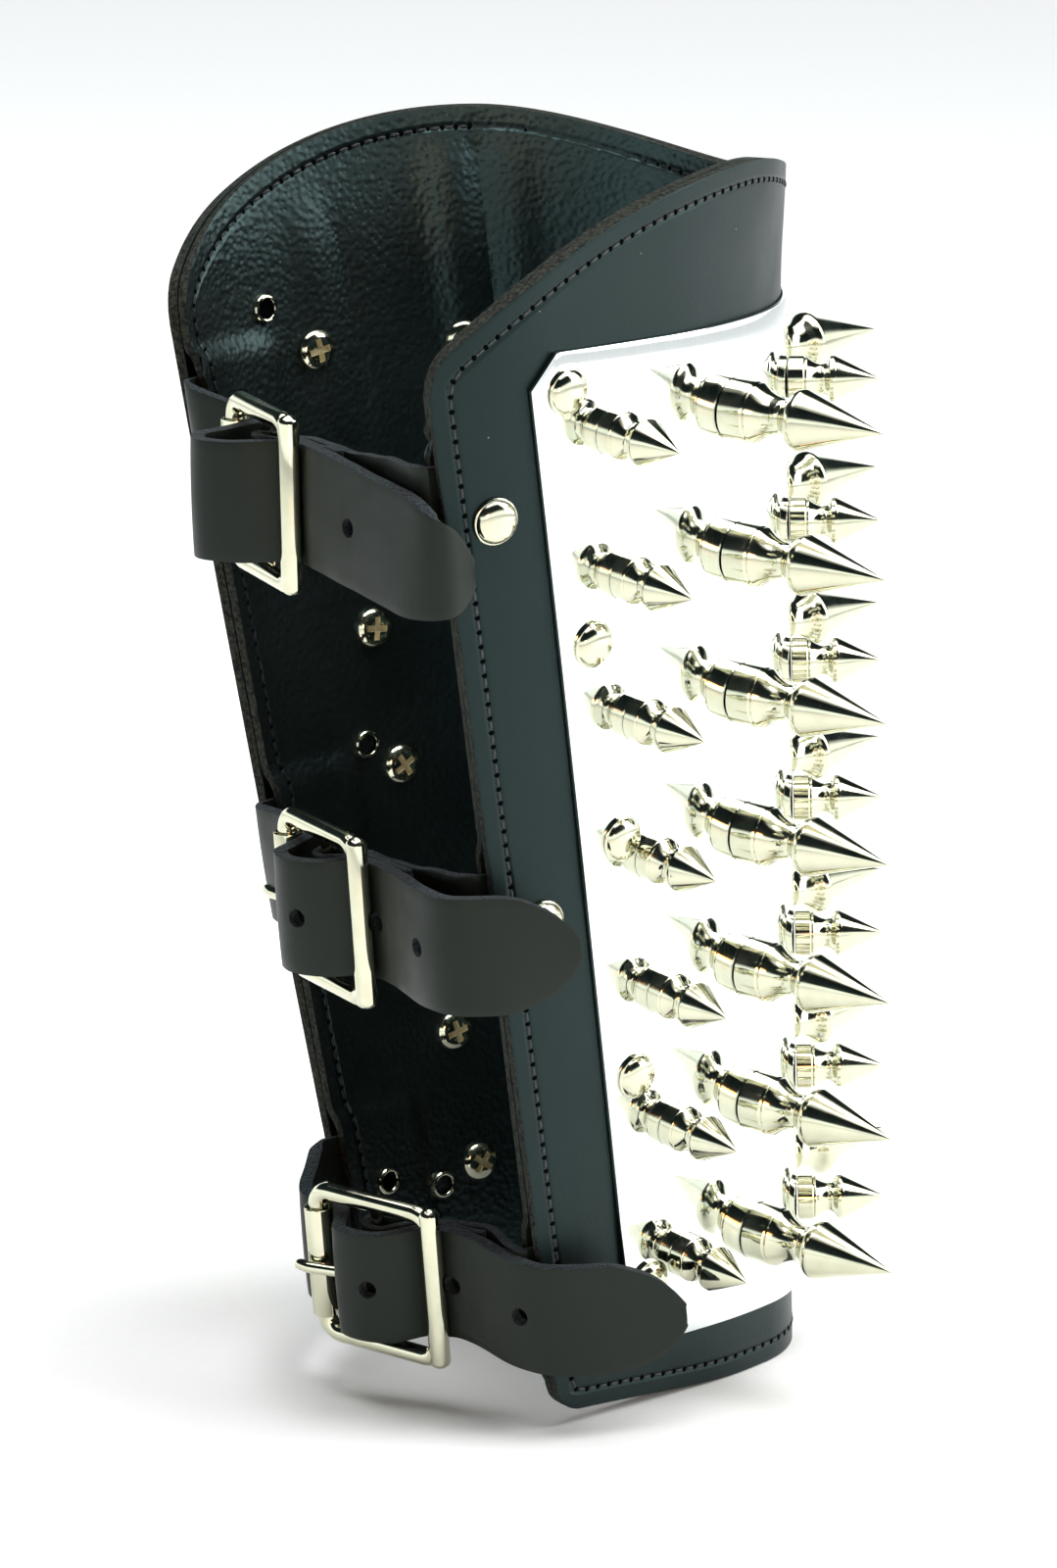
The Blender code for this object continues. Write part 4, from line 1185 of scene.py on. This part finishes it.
def add_ribbon(name, route, columns, up_at, half_width, thickness, thick_share, ragged, end_close):
    """A strap along its route: faces buffed, cut edges fuzzy."""
    def gone_at(across):
        back = (1 - across) ** end_close
        return (1 - back) * route.length

    def at(across, up):
        gone = gone_at(across)
        point, along = on_route(route, gone)
        rise = up_at(gone)
        out = along.cross(rise).normalized()
        wide = 2 * up - 1
        uneven = ragged * (math.sin(gone / (4.1 * MM)) + 0.6 * math.sin(gone / (1.7 * MM) + 2 * wide))
        reach = wide * (half_width(gone) + uneven * wide * wide)
        return point + rise * reach - out * (0.25 * MM * wide * wide)

    strap, shares = add_sheet(name, columns, STRAP_ROWS, at)
    thick = strap.vertex_groups.new(name="thickness")
    for index, (across, up) in enumerate(shares):
        thick.add([index], thick_share(gone_at(across)), "REPLACE")
    give(strap, STRAP_FACE, SUEDE)
    thicken(strap, thickness, 0.0, STRAP_EASED, "thickness")
    return strap


def add_cutter(kind, **sizes):
    """A shape to cut a strap with; the cut takes the suede finish."""
    deselect_all()
    kind(**sizes)
    cutter = bpy.context.active_object
    give_inside(cutter, STRAP_FACE, SUEDE)
    return cutter


def add_tail_strap(strap):
    """The punched strap, with its holes and the room that the prong presses into it."""
    route = smooth_route(tail_knots(strap))
    first, middle = flap_up(RIGHT, strap.right * HEIGHT), buckle_up(strap)
    last = flap_up(LEFT, strap.tip * HEIGHT)

    def up_at(gone):
        if gone < route.length / 2:
            return first.lerp(middle, smooth((gone - ANCHOR_DEPTH) / TWIST_RUN)).normalized()
        return last.lerp(middle, smooth((route.length - gone) / TWIST_RUN)).normalized()

    def half_width(gone):
        share = min(max(route.length - gone, 0.0) / POINT_LENGTH, 1.0)
        return STRAP_WIDTH / 2 * max(math.sqrt(1 - (1 - share) ** 2), TIP_BLUNT)

    def thick_share(gone):
        skived = smooth((gone - ANCHOR_DEPTH - 4 * MM) / SKIVE_RUN)
        return blend(SKIVED_THICK / STRAP_THICK, 1.0, skived)

    piece = add_ribbon(f"buffed_tail_strap_{strap.name}", route, TAIL_COLUMNS, up_at, half_width, STRAP_THICK,
                       thick_share, 0.07 * MM, 1.35)
    for number in range(strap.holes):
        point, along = on_route(route, route.length - TIP_TO_HOLE - number * HOLE_PITCH)
        out = along.cross(middle).normalized()
        turn = Matrix((along, out.cross(along), out)).transposed().to_4x4()
        drill = add_cutter(bpy.ops.mesh.primitive_cylinder_add, vertices=SMALL_SIDES,
                           radius=HOLE_DIAMETER / 2, depth=4 * STRAP_THICK)
        drill.data.transform(Matrix.Translation(point) @ turn)
        cut(piece, drill)
    room = add_wire("prong_room", prong_route(), PRONG_WIRE / 2 + 1.2 * CLEAR)
    room.data.transform(buckle_place(strap))
    give_inside(room, STRAP_FACE, SUEDE)
    cut(piece, room)
    smooth_faces(piece, 40)
    return piece


def add_billet(strap):
    """The strap that folds round the centre bar, slotted for the prong."""
    route = smooth_route(billet_knots(strap))
    first, last = flap_up(LEFT, strap.left * HEIGHT), buckle_up(strap)

    def up_at(gone):
        return first.lerp(last, smooth((gone - ANCHOR_DEPTH) / TWIST_RUN)).normalized()

    def thick_share(gone):
        skived = smooth((gone - ANCHOR_DEPTH) / SKIVE_RUN)
        return blend(SKIVED_THICK / BILLET_THICK, 1.0, skived)

    piece = add_ribbon(f"folded_billet_{strap.name}", route, BILLET_COLUMNS, up_at,
                       lambda gone: BILLET_WIDTH / 2, BILLET_THICK, thick_share, 0.2 * MM, 1.0)
    reach = PRONG_WRAP + PRONG_WIRE / 2 + CLEAR
    slot = add_cutter(bpy.ops.mesh.primitive_cube_add, size=1)
    slot.data.transform(buckle_place(strap) @ Matrix.Translation((0.5 * reach, 0, 0))
                        @ Matrix.Diagonal((3.2 * reach, 3 * reach, PRONG_SLOT_WIDE, 1)))
    cut(piece, slot)
    smooth_faces(piece, 40)
    return piece


for strap in STRAPS:
    fit(add_tail_strap(strap), "strap_leather", f"tail_strap_{strap.name}")
    fit(add_billet(strap), "strap_leather", f"billet_strap_{strap.name}")


# Studio

FLOOR_DROP = 0.2 * MM
DAYLIGHT = 1.3
TENT_LIGHT = 1.7
TENT_BANDS = ((0.58, "#f4fbfb"), (0.64, "#1c2426"), (0.90, "#0c1214"), (0.97, "#ffffff"))


def add_floor():
    """A wide white card just under the bracer."""
    deselect_all()
    bpy.ops.mesh.primitive_plane_add(size=16, location=(0, 0, -FLOOR_DROP))
    floor = bpy.context.active_object
    floor.name = "studio_floor"
    give(floor, studio_floor())


def add_light(name, place, aim, size, power, colour="#ffffff"):
    """A softbox that looks at a point of the bracer."""
    lamp = bpy.data.lights.new(name, "AREA")
    lamp.shape = "RECTANGLE"
    lamp.size, lamp.size_y = size
    lamp.energy = power
    lamp.color = shade(colour)[:3]
    light = bpy.data.objects.new(name, lamp)
    light.location = place
    light.rotation_mode = "QUATERNION"
    light.rotation_quaternion = (Vector(aim) - Vector(place)).to_track_quat("-Z", "Y")
    bpy.context.scene.collection.objects.link(light)


def add_daylight():
    """Broad, even light over the whole card."""
    lamp = bpy.data.lights.new("daylight", "SUN")
    lamp.energy = DAYLIGHT
    lamp.angle = math.radians(35)
    light = bpy.data.objects.new("daylight", lamp)
    light.rotation_euler = (math.radians(18), math.radians(-14), 0)
    bpy.context.scene.collection.objects.link(light)


def add_tent():
    """A white tent with a dark band over it, which gives the metal its dark streaks."""
    world = bpy.data.worlds.new("white_tent")
    bpy.context.scene.world = world
    world.use_nodes = True
    tree = world.node_tree
    background = tree.nodes["Background"]
    background.inputs["Strength"].default_value = TENT_LIGHT
    where = add_node(tree, "ShaderNodeTexCoord").outputs["Generated"]
    split = add_node(tree, "ShaderNodeSeparateXYZ", None, None, {"Vector": where})
    height = ranged(tree, split.outputs["Z"], -1.0, 1.0, 0.0, 1.0)
    bands = add_node(tree, "ShaderNodeValToRGB", None, None, {"Fac": height})
    ramp = bands.color_ramp
    for end, element in enumerate(ramp.elements):
        element.position = end
        element.color = shade("#ffffff")
    for position, colour in TENT_BANDS:
        element = ramp.elements.new(position)
        element.color = shade(colour)
    tree.links.new(bands.outputs["Color"], background.inputs["Color"])


def add_camera():
    """The photograph's own view."""
    look = Vector((math.cos(CAMERA_YAW) * math.cos(CAMERA_PITCH),
                   math.sin(CAMERA_YAW) * math.cos(CAMERA_PITCH), math.sin(CAMERA_PITCH)))
    level = Vector((math.sin(CAMERA_YAW), -math.cos(CAMERA_YAW), 0.0))
    above = level.cross(look)
    right = math.cos(CAMERA_ROLL) * level + math.sin(CAMERA_ROLL) * above
    up = -math.sin(CAMERA_ROLL) * level + math.cos(CAMERA_ROLL) * above
    lens = bpy.data.cameras.new("photo_camera")
    lens.sensor_width = 36
    lens.lens = FOCAL_PIXELS / PICTURE_TALL * lens.sensor_width
    lens.clip_end = 100
    camera = bpy.data.objects.new("photo_camera", lens)
    bpy.context.scene.collection.objects.link(camera)
    turn = Matrix((right, up, -look)).transposed().to_4x4()
    camera.matrix_world = Matrix.Translation(ORIGIN + CAMERA_PLACE) @ turn
    bpy.context.scene.camera = camera


add_floor()
add_tent()
add_light("side_softbox", (-0.9, -1.1, 0.9), (0, 0, 0.14), (1.0, 1.4), 18)
add_light("top_softbox", (0.2, 0.0, 1.7), (0, 0, 0.1), (1.6, 1.6), 22)
add_light("warm_lamp", (-1.15, 0.62, 0.36), (0, 0, 0.22), (0.25, 0.25), 1.6, "#ffb36b")
add_daylight()
add_camera()
bpy.context.scene.view_settings.view_transform = "Standard"
